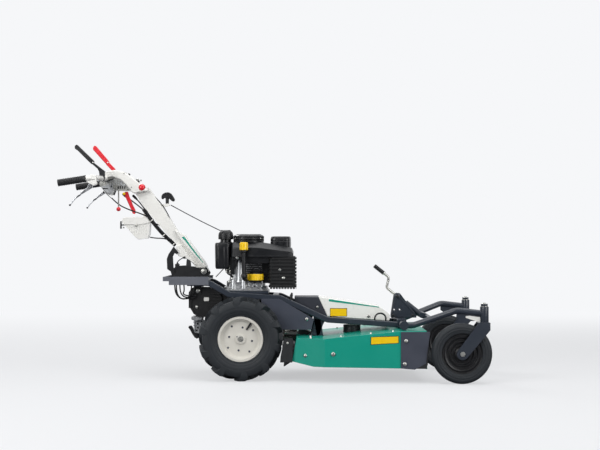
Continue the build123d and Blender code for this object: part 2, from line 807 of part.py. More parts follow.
# Height bracket: two triangular plates on the pivot housing, for the height screw
apex_x = arm_pivot_x - 0.6 * housing_half
apex_z = 408.0
eye_reach = 110.0
eye_x = arm_pivot_x + eye_reach
eye_z = 310.0
bracket_inner_y = 24.0
trunnion_pin = 6.0
apex_land = 14.0
bracket_base = arm_pivot_z + housing_half
bracket_rear_x = arm_pivot_x - 2 * housing_half
bracket_front_x = eye_x - 1.2 * housing_half
bracket_toe = 14.0
bracket_hole = 14.0  # side of its triangular holes
bracket_hole_z = bracket_base + 1.6 * housing_half
bracket_holes_x = [apex_x - bracket_hole, apex_x + bracket_hole]
with BuildPart() as height_bracket:
    for side in (-1, 1):
        cheek_face = max(side * bracket_inner_y, side * (bracket_inner_y + plate_thickness))
        with BuildSketch(side_plane(cheek_face)):
            with BuildLine():
                Polyline(
                    (bracket_rear_x, bracket_base),
                    (bracket_front_x, bracket_base),
                    (bracket_front_x, bracket_base + bracket_toe),
                    (apex_x + apex_land, apex_z + apex_land),
                    (apex_x - apex_land, apex_z + apex_land),
                    (bracket_rear_x, bracket_base + bracket_toe),
                    close=True,
                )
            make_face()
            with Locations((apex_x, apex_z)):
                Circle(trunnion_pin + bore_gap, mode=Mode.SUBTRACT)
            for hole_x in bracket_holes_x:
                with BuildLine():
                    Polyline(
                        (hole_x - bracket_hole / 2, bracket_hole_z),
                        (hole_x + bracket_hole / 2, bracket_hole_z),
                        (hole_x - bracket_hole / 4, bracket_hole_z + bracket_hole),
                        close=True,
                    )
                make_face(mode=Mode.SUBTRACT)
        extrude(amount=plate_thickness)
height_bracket.part.label = "height_bracket"
export_step(height_bracket.part, "parts/height_bracket.step")

# Height screw: crank and rod on a trunnion in the bracket's apex
screw_line = Vector(eye_x - apex_x, 0, eye_z - apex_z)
screw_way = screw_line.normalized()
apex = Vector(apex_x, 0, apex_z)
rod_radius = 7.0
crank_rod_end = 68.0
rod_reach = 118.0
crank_arm = 54.0
crank_stub = 34.0
crank_grip_length = 62.0
crank_grip_radius = 10.5
crank_side = Vector(0.24, 0, 0.97).normalized()
rod_tail = apex - screw_way * crank_rod_end
arm_end = rod_tail + crank_side * crank_arm
stub_end = arm_end - screw_way * crank_stub
with BuildPart() as height_screw:
    add(rod_between(tuple(rod_tail), tuple(apex + screw_way * rod_reach), rod_radius))
    trunnion_half = bracket_inner_y - overrun / 2
    add(cross_rod(apex_x, apex_z, 2 * trunnion_pin, -trunnion_half, trunnion_half))
    pin_y = bracket_inner_y + plate_thickness
    add(cross_rod(apex_x, apex_z, trunnion_pin, -pin_y, pin_y))
    add(rod_between(tuple(rod_tail - crank_side * rod_radius), tuple(arm_end), rod_radius))
    add(rod_between(tuple(arm_end + screw_way * rod_radius), tuple(stub_end), rod_radius))
    add(
        rod_between(
            tuple(stub_end), tuple(stub_end - screw_way * crank_grip_length), crank_grip_radius
        )
    )
height_screw.part.label = "height_screw"
export_step(height_screw.part, "parts/height_screw.step")

# Screw tube: hangs on the front arm's lug, the rod runs inside it
screw_tube_radius = 15.0
screw_tube_wall = 4.0
screw_tube_start = 55.0
eye_radius = 13.0
lug_inner_y = screw_tube_radius + running_gap / 2
eye_half = lug_inner_y - seat_gap
eye_pin = 6.0
eye = Vector(eye_x, 0, eye_z)
with BuildPart() as screw_tube:
    add(
        rod_between(
            tuple(apex + screw_way * screw_tube_start),
            tuple(eye - screw_way * eye_radius / 2),
            screw_tube_radius,
        )
    )
    add(
        rod_between(
            tuple(apex + screw_way * (screw_tube_start - overrun)),
            tuple(eye - screw_way * eye_radius * 1.6),
            screw_tube_radius - screw_tube_wall,
        ),
        mode=Mode.SUBTRACT,
    )
    add(cross_rod(eye_x, eye_z, eye_radius, -eye_half, eye_half))
    add(
        cross_rod(eye_x, eye_z, eye_pin + bore_gap, -eye_half - overrun * 3, eye_half + overrun * 3),
        mode=Mode.SUBTRACT,
    )
screw_tube.part.label = "screw_tube"
export_step(screw_tube.part, "parts/screw_tube.step")

# Front arms: bent tubes from the pivot out to the caster heads, with a gusset below
arm_collar_radius = 22.0
arm_y = 285.0
arm_bend_back = 133.0
arm_bend_x = steer_x - arm_bend_back
arm_bend_z = 353.0
head_z = 338.0
head_low = 297.0
head_high = 371.0
head_radius = 21.0
arm_bend = 60.0
gusset_length = 113.0
gusset_height = 36.0
with BuildPart() as front_arms:
    for side in (-1, 1):
        add(
            bent_tube(
                [
                    (arm_pivot_x, side * arm_y, arm_pivot_z),
                    (arm_pivot_x + 2 * arm_collar_radius, side * arm_y, arm_pivot_z),
                    (arm_bend_x, side * caster_y, arm_bend_z),
                    (steer_x, side * caster_y, head_z),
                ],
                [arm_bend, arm_bend],
                arm_tube_radius,
            )
        )
        y_ends = sorted((side * (arm_y - arm_tube_radius), side * (arm_y + arm_tube_radius)))
        add(cross_rod(arm_pivot_x, arm_pivot_z, arm_collar_radius, *y_ends))
        gusset = [
            (arm_bend_x - overrun, arm_bend_z - arm_tube_radius / 2),
            (steer_x - head_radius / 2, head_z - arm_tube_radius / 2),
            (steer_x - head_radius / 2, head_z - gusset_height),
            (steer_x - gusset_length, head_z - gusset_height),
            (arm_bend_x - overrun, arm_bend_z - gusset_height),
        ]
        y_ends = sorted(
            (side * (caster_y - plate_thickness / 2), side * (caster_y + plate_thickness / 2))
        )
        add(side_block(gusset, *y_ends))
        add(post(steer_x, side * caster_y, head_radius, head_low, head_high))
        stem_bore = caster_stem_radius + bore_gap
        add(
            post(steer_x, side * caster_y, stem_bore, head_low - overrun, head_high + overrun),
            mode=Mode.SUBTRACT,
        )
front_arms.part.label = "front_arms"
export_step(front_arms.part, "parts/front_arms.step")

# Front cross tubes: the pivot tube through its housing, and the bar with the screw's lug
bar_ahead = 28.0
bar_x = eye_x + bar_ahead
bar_z = 303.0
cross_bar_radius = 13.0
lug_thick = 6.0
with BuildPart() as front_cross_tubes:
    pivot_end = arm_y - arm_tube_radius
    add(cross_rod(arm_pivot_x, arm_pivot_z, arm_tube_radius, -pivot_end, pivot_end))
    collar_x = arm_pivot_x + 2 * arm_collar_radius
    arm_run = (bar_x - collar_x) / (arm_bend_x - collar_x)
    bar_end = spread(arm_y, caster_y - arm_y, arm_run)
    add(cross_rod(bar_x, bar_z, cross_bar_radius, -bar_end, bar_end))
    for side in (-1, 1):
        with BuildSketch(side_plane(max(side * lug_inner_y, side * (lug_inner_y + lug_thick)))):
            with Locations((eye_x, eye_z), (bar_x, bar_z)):
                Circle(eye_radius)
            make_hull()
        extrude(amount=lug_thick)
    lug_end = lug_inner_y + lug_thick
    add(cross_rod(eye_x, eye_z, eye_pin, -lug_end, lug_end))
    add(front_arms.part, mode=Mode.SUBTRACT)
front_cross_tubes.part.label = "front_cross_tubes"
export_step(front_cross_tubes.part, "parts/front_cross_tubes.step")

# Wheels, casters and their axles, one set for each side
leg_thick = 6.0
leg_gap = 5.0
leg_radius = 28.0
crown_length = 55.0
crown_high = head_low - seat_gap
axle_head = 12.0
nut_height = 14.0
bead_half = rim_width / 2 - rim_sheet - seat_gap
bead_radius = rim_radius - rim_flange + seat_gap
carcass_half = 0.47 * drive_width
carcass_side = 0.8 * drive_radius
carcass_shoulder = 0.4 * drive_width
carcass_profile = [
    (-carcass_half, carcass_side),
    (-carcass_shoulder, carcass_radius),
    (carcass_shoulder, carcass_radius),
    (carcass_half, carcass_side),
]

# Lugs: ten bars on each half of the tread, from its middle out over the shoulder, leaning back
lug_count = 10
lug_width = 27.0
lug_lean = 34.0
lug_foot = 0.77 * drive_radius
lug_inner = 2.0
lug_outer = drive_width / 2
lug_shoulder = 0.42 * drive_width
lug_shoulder_drop = 14.0
lug_reach = (lug_lean + lug_width) / 2
caster_hub = caster_rim_radius - rim_flange
caster_profile = [
    (-caster_width / 2, caster_radius * 0.9),
    (-caster_width * 0.3, caster_radius),
    (caster_width * 0.3, caster_radius),
    (caster_width / 2, caster_radius * 0.9),
]
for side, hand in ((-1, "right"), (1, "left")):
    # drive tyre: carcass with its lugs, the far half's set between the near half's
    with BuildPart() as drive_tyre:
        add(faceted(carcass_profile, drive_x, side * drive_y, drive_z))
        bead = [(-carcass_half, bead_radius), (carcass_half, bead_radius)]
        add(faceted(bead, drive_x, side * drive_y, drive_z), mode=Mode.SUBTRACT)
        for face in (-1, 1):
            hollow = sorted([(face * bead_half, rim_radius + seat_gap), (face * carcass_half, carcass_side)])
            add(faceted(hollow, drive_x, side * drive_y, drive_z), mode=Mode.SUBTRACT)
            lug_plan = [
                (drive_x + lug_lean / 2 - lug_width / 2, side * drive_y + face * lug_inner),
                (drive_x + lug_lean / 2 + lug_width / 2, side * drive_y + face * lug_inner),
                (drive_x - lug_lean / 2 + lug_width / 2, side * drive_y + face * lug_outer),
                (drive_x - lug_lean / 2 - lug_width / 2, side * drive_y + face * lug_outer),
            ]
            lug_section = [
                (face * lug_inner - face * overrun, drive_z + lug_foot),
                (face * lug_outer, drive_z + lug_foot),
                (face * lug_outer, drive_z + drive_radius - lug_shoulder_drop),
                (face * lug_shoulder, drive_z + drive_radius),
                (face * lug_inner - face * overrun, drive_z + drive_radius),
            ]
            with BuildPart() as lug:
                with BuildSketch(Plane.YZ.offset(drive_x - lug_reach - overrun)):
                    with BuildLine():
                        Polyline(*[(side * drive_y + across, z) for across, z in lug_section], close=True)
                    make_face()
                extrude(amount=2 * (lug_reach + overrun))
                add(plan_block(lug_plan, drive_z, drive_z + drive_radius), mode=Mode.INTERSECT)
            wheel_axis = Axis((drive_x, 0, drive_z), (0, 1, 0))
            for turn in range(lug_count):
                stagger = 0.5 if face > 0 else 0
                add(lug.part.rotate(wheel_axis, (turn + stagger) * 360 / lug_count))
    drive_tyre.part.label = f"drive_tyre_{hand}"
    export_step(drive_tyre.part, f"parts/drive_tyre_{hand}.step")

    # rim: barrel, flanges and a dished disc at its outer side
    barrel = rim_radius - rim_flange
    disc_face = rim_width / 2 - disc_depth
    rim_profile = [
        (-side * rim_width / 2, barrel - rim_sheet),
        (side * (disc_face - rim_sheet), barrel - rim_sheet),
        (side * (disc_face - rim_sheet), drive_axle_radius + seat_gap),
        (side * disc_face, drive_axle_radius + seat_gap),
        (side * disc_face, barrel * 0.84),
        (side * (disc_face + disc_depth / 2), barrel * 0.93),
        (side * rim_width / 2, barrel - rim_sheet / 2),
        (side * rim_width / 2, rim_radius),
        (side * (rim_width / 2 - rim_sheet), rim_radius),
        (side * (rim_width / 2 - rim_sheet), barrel),
        (-side * (rim_width / 2 - rim_sheet), barrel),
        (-side * (rim_width / 2 - rim_sheet), rim_radius),
        (-side * rim_width / 2, rim_radius),
    ]
    with BuildPart() as drive_rim:
        add(turned(rim_profile, drive_x, side * drive_y, drive_z))
    drive_rim.part.label = f"drive_rim_{hand}"
    export_step(drive_rim.part, f"parts/drive_rim_{hand}.step")

    # axle: a shaft in the gearbox's bore, with a flange against the rim's disc
    disc_inner = drive_y + disc_face - rim_sheet
    with BuildPart() as drive_axle:
        y_ends = sorted((side * (gearbox_width / 4 + overrun), side * (disc_inner + 3 * rim_sheet)))
        add(cross_rod(drive_x, drive_z, drive_axle_radius, *y_ends))
        y_ends = sorted((side * (disc_inner - 2 * rim_sheet), side * disc_inner))
        add(cross_rod(drive_x, drive_z, flange_radius, *y_ends))
    drive_axle.part.label = f"drive_axle_{hand}"
    export_step(drive_axle.part, f"parts/drive_axle_{hand}.step")

    # caster fork: crown, two legs and the stem up through the head
    leg_inner = caster_width / 2 + leg_gap
    leg_outer = leg_inner + leg_thick
    with BuildPart() as caster_fork:
        for face in (-1, 1):
            y_leg = max(
                side * caster_y + face * leg_inner, side * caster_y + face * leg_outer
            )
            with BuildSketch(side_plane(y_leg)):
                with Locations((caster_axle_x, caster_z)):
                    Circle(leg_radius)
                with Locations((steer_x - crown_length / 12, crown_high - leg_thick * 3)):
                    Rectangle(crown_length, leg_thick * 6)
                make_hull()
                with Locations((caster_axle_x, caster_z)):
                    Circle(caster_axle_radius + seat_gap, mode=Mode.SUBTRACT)
            extrude(amount=leg_thick)
        with BuildSketch(Plane.XY.offset(crown_high - leg_thick)):
            with Locations((steer_x - crown_length / 12, side * caster_y)):
                Rectangle(crown_length, 2 * leg_outer)
        extrude(amount=leg_thick)
        add(post(steer_x, side * caster_y, caster_stem_radius, crown_high - leg_thick, head_high + seat_gap))
        with BuildSketch(Plane.XY.offset(head_high + seat_gap)):
            with Locations((steer_x, side * caster_y)):
                RegularPolygon(1.7 * caster_stem_radius, 6)
        extrude(amount=nut_height)
        add(
            post(
                steer_x, side * caster_y, caster_stem_radius / 2, head_high, head_high + 1.4 * nut_height
            )
        )
    caster_fork.part.label = f"caster_fork_{hand}"
    export_step(caster_fork.part, f"parts/caster_fork_{hand}.step")

    # caster axle bolt, its head and nut outside the legs
    with BuildPart() as caster_axle:
        add(
            cross_rod(
                caster_axle_x,
                caster_z,
                caster_axle_radius,
                side * caster_y - leg_outer,
                side * caster_y + leg_outer,
            )
        )
        for face in (-1, 1):
            y_head = max(
                side * caster_y + face * leg_outer,
                side * caster_y + face * (leg_outer + axle_head / 2),
            )
            with BuildSketch(side_plane(y_head)):
                with Locations((caster_axle_x, caster_z)):
                    RegularPolygon(1.6 * caster_axle_radius, 6)
            extrude(amount=axle_head / 2)
    caster_axle.part.label = f"caster_axle_{hand}"
    export_step(caster_axle.part, f"parts/caster_axle_{hand}.step")

    # caster wheel: ringed disc with its hub on the axle, and the tyre on it
    hub_half = caster_width / 2 + leg_gap / 2
    wheel_profile = [
        (-hub_half, caster_axle_radius + bore_gap),
        (hub_half, caster_axle_radius + bore_gap),
        (hub_half, 3 * caster_axle_radius),
        (caster_width * 0.3, 3.6 * caster_axle_radius),
        (caster_width * 0.3, 0.68 * caster_hub),
        (caster_width * 0.36, 0.76 * caster_hub),
        (caster_width * 0.36, caster_hub),
        (-caster_width * 0.36, caster_hub),
        (-caster_width * 0.36, 0.76 * caster_hub),
        (-caster_width * 0.3, 0.68 * caster_hub),
        (-caster_width * 0.3, 3.6 * caster_axle_radius),
        (-hub_half, 3 * caster_axle_radius),
    ]
    with BuildPart() as caster_rim:
        add(turned(wheel_profile, caster_axle_x, side * caster_y, caster_z))
    caster_rim.part.label = f"caster_rim_{hand}"
    export_step(caster_rim.part, f"parts/caster_rim_{hand}.step")

    with BuildPart() as caster_tyre:
        add(faceted(caster_profile, caster_axle_x, side * caster_y, caster_z))
        seat = [(across, caster_hub + seat_gap) for across in (-caster_width / 2, caster_width / 2)]
        add(faceted(seat, caster_axle_x, side * caster_y, caster_z), mode=Mode.SUBTRACT)
    caster_tyre.part.label = f"caster_tyre_{hand}"
    export_step(caster_tyre.part, f"parts/caster_tyre_{hand}.step")


# Handle column: a box section from its round foot up to the console, wider towards its top
column_foot_radius = 22.0
column_shares = [
    (-0.017, 0.024), (-0.004, 0.073), (0.169, 0.405), (0.244, 0.599), (0.367, 0.888), (0.405, 0.968),
    (0.494, 0.893), (0.443, 0.759), (0.318, 0.519), (0.218, 0.339), (0.058, 0.043), (0.03, -0.02),
]
column_half = column_width / 2
guide_half = 11.0
guide_radius = 7.0
with BuildPart() as handle_column:
    add(side_block([handle_place(*share) for share in column_shares], -column_half, column_half))
    add(cross_rod(handle_pivot_x, handle_pivot_z, column_foot_radius, -column_half, column_half))
    pin_end = cheek_y + cheek_thick
    add(cross_rod(handle_pivot_x, handle_pivot_z, pivot_pin_radius, -pin_end, pin_end))
    with BuildSketch(side_plane(guide_half)):
        with Locations(handle_place(0.32, 0.755), handle_place(0.265, 0.77)):
            Circle(guide_radius)
        make_hull()
    extrude(amount=2 * guide_half)
handle_column.part.label = "handle_column"
export_step(handle_column.part, "parts/handle_column.step")

# Console hood over the column's top, open below
hood_shares = [
    (0.4, 0.93), (0.46, 1.01), (0.53, 1.1), (0.58, 1.15), (0.643, 1.17), (0.7, 1.155), (0.735, 1.13),
    (0.733, 1.068), (0.66, 1.095), (0.6, 1.06), (0.555, 0.99), (0.51, 0.9),
]
hood_half = 62.0
with BuildPart() as console_hood:
    hood_points = [handle_place(*share) for share in hood_shares]
    add(side_block(hood_points, -hood_half, hood_half))
    add(handle_column.part, mode=Mode.SUBTRACT)
console_hood.part.label = "console_hood"
export_step(console_hood.part, "parts/console_hood.step")

# Handlebar tubes from the hood's sides back to the grips
grip_y = handle_width / 2 - grip_radius
grip_slope = 8.6  # degrees
grip_tilt = radians(grip_slope)
grip_end_x = grip_radius * sin(grip_tilt) - (caster_axle_x + caster_radius)
grip_end_z = handle_pivot_z + handle_rise
grip_front = (grip_end_x + grip_length * cos(grip_tilt), grip_end_z + grip_length * sin(grip_tilt))
bar_root_x = -850.0
bar_root_z = 1002.0
bar_bend = 34.0
end_cap = 4.0
grip_tail = (grip_end_x + end_cap * cos(grip_tilt), grip_end_z + end_cap * sin(grip_tilt))
bar_straight = grip_length + bar_bend
bar_corner = (grip_end_x + bar_straight * cos(grip_tilt), grip_end_z + bar_straight * sin(grip_tilt))
with BuildPart() as handlebar_tubes:
    for side in (-1, 1):
        add(
            bent_tube(
                [
                    (grip_tail[0], side * grip_y, grip_tail[1]),
                    (bar_corner[0], side * grip_y, bar_corner[1]),
                    (bar_root_x, side * (hood_half + bar_bend), bar_root_z),
                    (bar_root_x, side * hood_half, bar_root_z),
                ],
                [bar_bend, bar_bend / 2],
                bar_radius,
            )
        )
handlebar_tubes.part.label = "handlebar_tubes"
export_step(handlebar_tubes.part, "parts/handlebar_tubes.step")

# Grips: closed sleeves over the tubes' ends
with BuildPart() as grips:
    for side in (-1, 1):
        start = (grip_end_x, side * grip_y, grip_end_z)
        tail = (grip_tail[0], side * grip_y, grip_tail[1])
        front = (grip_front[0], side * grip_y, grip_front[1])
        add(rod_between(start, front, grip_radius))
        past = (front[0] + overrun * cos(grip_tilt), front[1], front[2] + overrun * sin(grip_tilt))
        add(rod_between(tail, past, bar_radius + seat_gap), mode=Mode.SUBTRACT)
grips.part.label = "grips"
export_step(grips.part, "parts/grips.step")

# Console works: the grey lever gate under the hood, with a shift rod down from it
works_half = 54.0
works_shares = [
    (0.756, 1.01), (0.735, 1.065), (0.66, 1.095), (0.6, 1.06), (0.555, 0.99),
    (0.525, 0.93), (0.66, 0.936), (0.68, 0.88), (0.716, 0.92),
]
rod_place = handle_place(0.615, 0.747)
shift_rod_radius = 3.5
shift_rod_y = -48.0
with BuildPart() as console_works:
    add(side_block([handle_place(*share) for share in works_shares], -works_half, works_half))
    rod_top = handle_place(0.615, 0.95)
    add(post(rod_place[0], shift_rod_y, shift_rod_radius, rod_place[1], rod_top[1]))
    for body in (console_hood.part, handle_column.part):
        add(body, mode=Mode.SUBTRACT)
console_works.part.label = "console_works"
export_step(console_works.part, "parts/console_works.step")


# Hand levers above the handlebar: black on the near side, red on the far side
lever_width = 24.0
lever_thick = 20.0
lever_y = 134.0
lever_shares = {
    -1: [(0.893, 1.425), (0.777, 1.243), (0.691, 1.13), (0.712, 1.055)],
    1: [(0.826, 1.46), (0.69, 1.2), (0.712, 1.055)],
}
for side, colour in ((-1, "black"), (1, "red")):
    places = [handle_place(*share) for share in lever_shares[side]]
    y_ends = sorted((side * lever_y - lever_thick / 2, side * lever_y + lever_thick / 2))
    with BuildPart() as hand_lever:
        add(flat_bar(places, *y_ends, lever_width))
        add(handlebar_tubes.part, mode=Mode.SUBTRACT)
    hand_lever.part.label = f"{colour}_lever"
    export_step(hand_lever.part, f"parts/{colour}_lever.step")

# Brake levers under the grips
brake_width = 13.0
brake_thick = 11.0
brake_shares = [(0.775, 1.03), (0.76, 0.955), (0.84, 0.865), (0.88, 0.82), (0.912, 0.75)]
with BuildPart() as brake_levers:
    for side in (-1, 1):
        y_ends = sorted((side * grip_y - brake_thick / 2, side * grip_y + brake_thick / 2))
        add(flat_bar([handle_place(*share) for share in brake_shares], *y_ends, brake_width))
    add(handlebar_tubes.part, mode=Mode.SUBTRACT)
brake_levers.part.label = "brake_levers"
export_step(brake_levers.part, "parts/brake_levers.step")

# Red controls: shift lever, knob of the shift rod and the big knob on the column's near side
shift_width = 22.0
shift_thick = 16.0
shift_y = -32.0
shift_shares = [(0.565, 0.92), (0.555, 0.84), (0.507, 0.685)]
small_knob_radius = 11.5
big_knob_radius = 19.0
big_knob = handle_place(0.447, 0.967)
knob_neck = 6.0
with BuildPart() as red_controls:
    y_ends = (shift_y - shift_thick / 2, shift_y + shift_thick / 2)
    add(flat_bar([handle_place(*share) for share in shift_shares], *y_ends, shift_width))
    with Locations((rod_place[0], shift_rod_y, rod_place[1] - small_knob_radius)):
        Sphere(small_knob_radius)
    knob_y = -column_half - big_knob_radius - knob_neck / 2
    with Locations((big_knob[0], knob_y, big_knob[1])):
        Sphere(big_knob_radius)
    add(cross_rod(*big_knob, knob_neck, knob_y, -column_half))
    for body in (console_works.part, console_hood.part, handle_column.part):
        add(body, mode=Mode.SUBTRACT)
red_controls.part.label = "red_controls"
export_step(red_controls.part, "parts/red_controls.step")

# White pod under the column, on a tab, with a black knob at its rear
pod_half = 50.0
pod_rounding = 7.0
pod_shares = [
    (0.594, 0.626), (0.428, 0.633), (0.39, 0.567), (0.407, 0.378), (0.475, 0.364), (0.563, 0.515),
    (0.591, 0.565),
]
pod_tab = 20.0
knob_bar = 4.5
with BuildPart() as storage_pod:
    add(side_block([handle_place(*share) for share in pod_shares], -pod_half, pod_half, pod_rounding))
    add(flat_bar([handle_place(0.44, 0.6), handle_place(0.4, 0.76)], -pod_tab / 2, pod_tab / 2, pod_tab))
    add(handle_column.part, mode=Mode.SUBTRACT)
storage_pod.part.label = "storage_pod"
export_step(storage_pod.part, "parts/storage_pod.step")

# Pull handles: the recoil's drooping T on the column's guide tab, and the pod's knob
tee_radius = 12.0
tee_stem = 9.0
tee_shares = [(0.31, 0.83), (0.29, 0.885), (0.255, 0.895), (0.228, 0.835)]
with BuildPart() as pull_handles:
    add(flat_bar([handle_place(*share) for share in tee_shares], -tee_radius, tee_radius, 2 * tee_radius))
    stem_top = handle_place(0.272, 0.89)
    stem_foot = handle_place(0.272, 0.785)
    add(post(stem_top[0], 0, tee_stem, stem_foot[1], stem_top[1]))
    knob_low = handle_place(0.607, 0.49)
    knob_high = handle_place(0.607, 0.583)
    knob_root = handle_place(0.56, 0.537)
    add(post(knob_low[0], 0, knob_bar, knob_low[1], knob_high[1]))
    add(rod_between((knob_low[0], 0, knob_root[1]), (knob_root[0], 0, knob_root[1]), knob_bar))
    for body in (handle_column.part, storage_pod.part):
        add(body, mode=Mode.SUBTRACT)
pull_handles.part.label = "pull_handles"
export_step(pull_handles.part, "parts/pull_handles.step")

# Recoil rope: taut from the guide tab to the recoil cover's rear face
rope_radius = 2.5
rope_start = handle_place(0.247, 0.768)
rope_end_y = 42.0
rope_end = (engine_x(0.25), rope_end_y, engine_z(0.865))
with BuildPart() as recoil_rope:
    add(rod_between((rope_start[0], 0, rope_start[1]), rope_end, rope_radius))
    for body in (handle_column.part, recoil_cover.part):
        add(body, mode=Mode.SUBTRACT)
recoil_rope.part.label = "recoil_rope"
export_step(recoil_rope.part, "parts/recoil_rope.step")

# Control cables: a bundle under the column, and two cables to it from the works
bundle_radius = 8.0
cable_radius = 3.5
bundle_route = [(-652, -14, 834), (-604, -14, 768), (-556, -14, 714), (-498, -14, 664)]
near_route = [
    (-820, -46, 905), (-790, -46, 872), (-736, -44, 846), (-684, -38, 828), (-640, -30, 803),
    (-606, -28, 764),
]
far_route = [(-766, 20, 934), (-744, 18, 910), (-704, 12, 878), (-664, 6, 841), (-630, 6, 798)]
cable_bend_share = 0.45


def cable_bends(route):
    # radius at each inner place: as large as its two runs allow
    places = [Vector(*place) for place in route]
    bends = []
    for before, here, after in zip(places, places[1:], places[2:]):
        turn = radians((here - before).get_angle(after - here))
        shorter = min((here - before).length, (after - here).length)
        bends.append(cable_bend_share * shorter / (sin(turn / 2) / cos(turn / 2)))
    return bends


with BuildPart() as console_cables:
    for route, radius in (
        (bundle_route, bundle_radius),
        (near_route, cable_radius),
        (far_route, cable_radius),
    ):
        add(bent_tube(route, cable_bends(route), radius))
        print("cable radius", radius, "bends", [round(bend) for bend in cable_bends(route)])
    for body in (console_works, console_hood, red_controls, storage_pod, handle_column):
        add(body.part, mode=Mode.SUBTRACT)
console_cables.part.label = "console_cables"
export_step(console_cables.part, "parts/console_cables.step")

# Cable loops that hang under the tray's floor
loop_routes = [
    [
        (-494, -118, tray_floor), (-494, -118, 452), (-480, -116, 412), (-448, -112, 396),
        (-420, -108, 412), (-411, -106, 452), (-411, -106, tray_floor),
    ],
    [
        (-470, -100, tray_floor), (-470, -100, 448), (-456, -99, 414), (-430, -97, 404),
        (-404, -96, 420), (-397, -96, 456), (-397, -96, tray_floor),
    ],
]
with BuildPart() as tail_cables:
    for route in loop_routes:
        add(bent_tube(route, cable_bends(route), cable_radius))
        print("cable radius", cable_radius, "bends", [round(bend) for bend in cable_bends(route)])
tail_cables.part.label = "tail_cables"
export_step(tail_cables.part, "parts/tail_cables.step")
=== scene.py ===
import bpy, bmesh, json, math
from mathutils import Vector, Matrix


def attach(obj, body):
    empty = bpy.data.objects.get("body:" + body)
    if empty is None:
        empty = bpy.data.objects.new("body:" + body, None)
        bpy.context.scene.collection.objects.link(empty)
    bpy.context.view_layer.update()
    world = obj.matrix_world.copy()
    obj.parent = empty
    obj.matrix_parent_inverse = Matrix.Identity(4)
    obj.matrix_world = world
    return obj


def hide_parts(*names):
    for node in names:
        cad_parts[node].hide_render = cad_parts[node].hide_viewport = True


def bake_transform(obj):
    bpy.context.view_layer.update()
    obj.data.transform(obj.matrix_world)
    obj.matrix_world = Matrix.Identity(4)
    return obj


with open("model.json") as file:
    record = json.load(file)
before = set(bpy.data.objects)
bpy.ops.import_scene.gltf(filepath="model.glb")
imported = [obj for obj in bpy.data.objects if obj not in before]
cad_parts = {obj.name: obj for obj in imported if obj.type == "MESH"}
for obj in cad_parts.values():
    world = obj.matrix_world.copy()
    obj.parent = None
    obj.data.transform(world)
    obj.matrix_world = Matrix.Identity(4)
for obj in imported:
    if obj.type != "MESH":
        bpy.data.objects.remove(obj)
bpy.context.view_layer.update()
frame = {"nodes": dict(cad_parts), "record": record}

record = frame["record"]
print("frame loaded:", len(frame["nodes"]), "nodes")

mm = 0.001
hands = ((-1, "right"), (1, "left"))


def linear(code):
    # sRGB hex to linear colour
    parts = [int(code[k:k + 2], 16) / 255 for k in (1, 3, 5)]
    return [p / 12.92 if p <= 0.04045 else ((p + 0.055) / 1.055) ** 2.4 for p in parts] + [1.0]


def addNode(tree, kind, values=None, links=None):
    # adds a node, sets its sockets or settings and links its inputs
    node = tree.nodes.new(kind)
    for key, value in (values or {}).items():
        if isinstance(key, int) or key in node.inputs:
            node.inputs[key].default_value = value
        else:
            setattr(node, key, value)
    for key, socket in (links or {}).items():
        tree.links.new(socket, node.inputs[key])
    return node


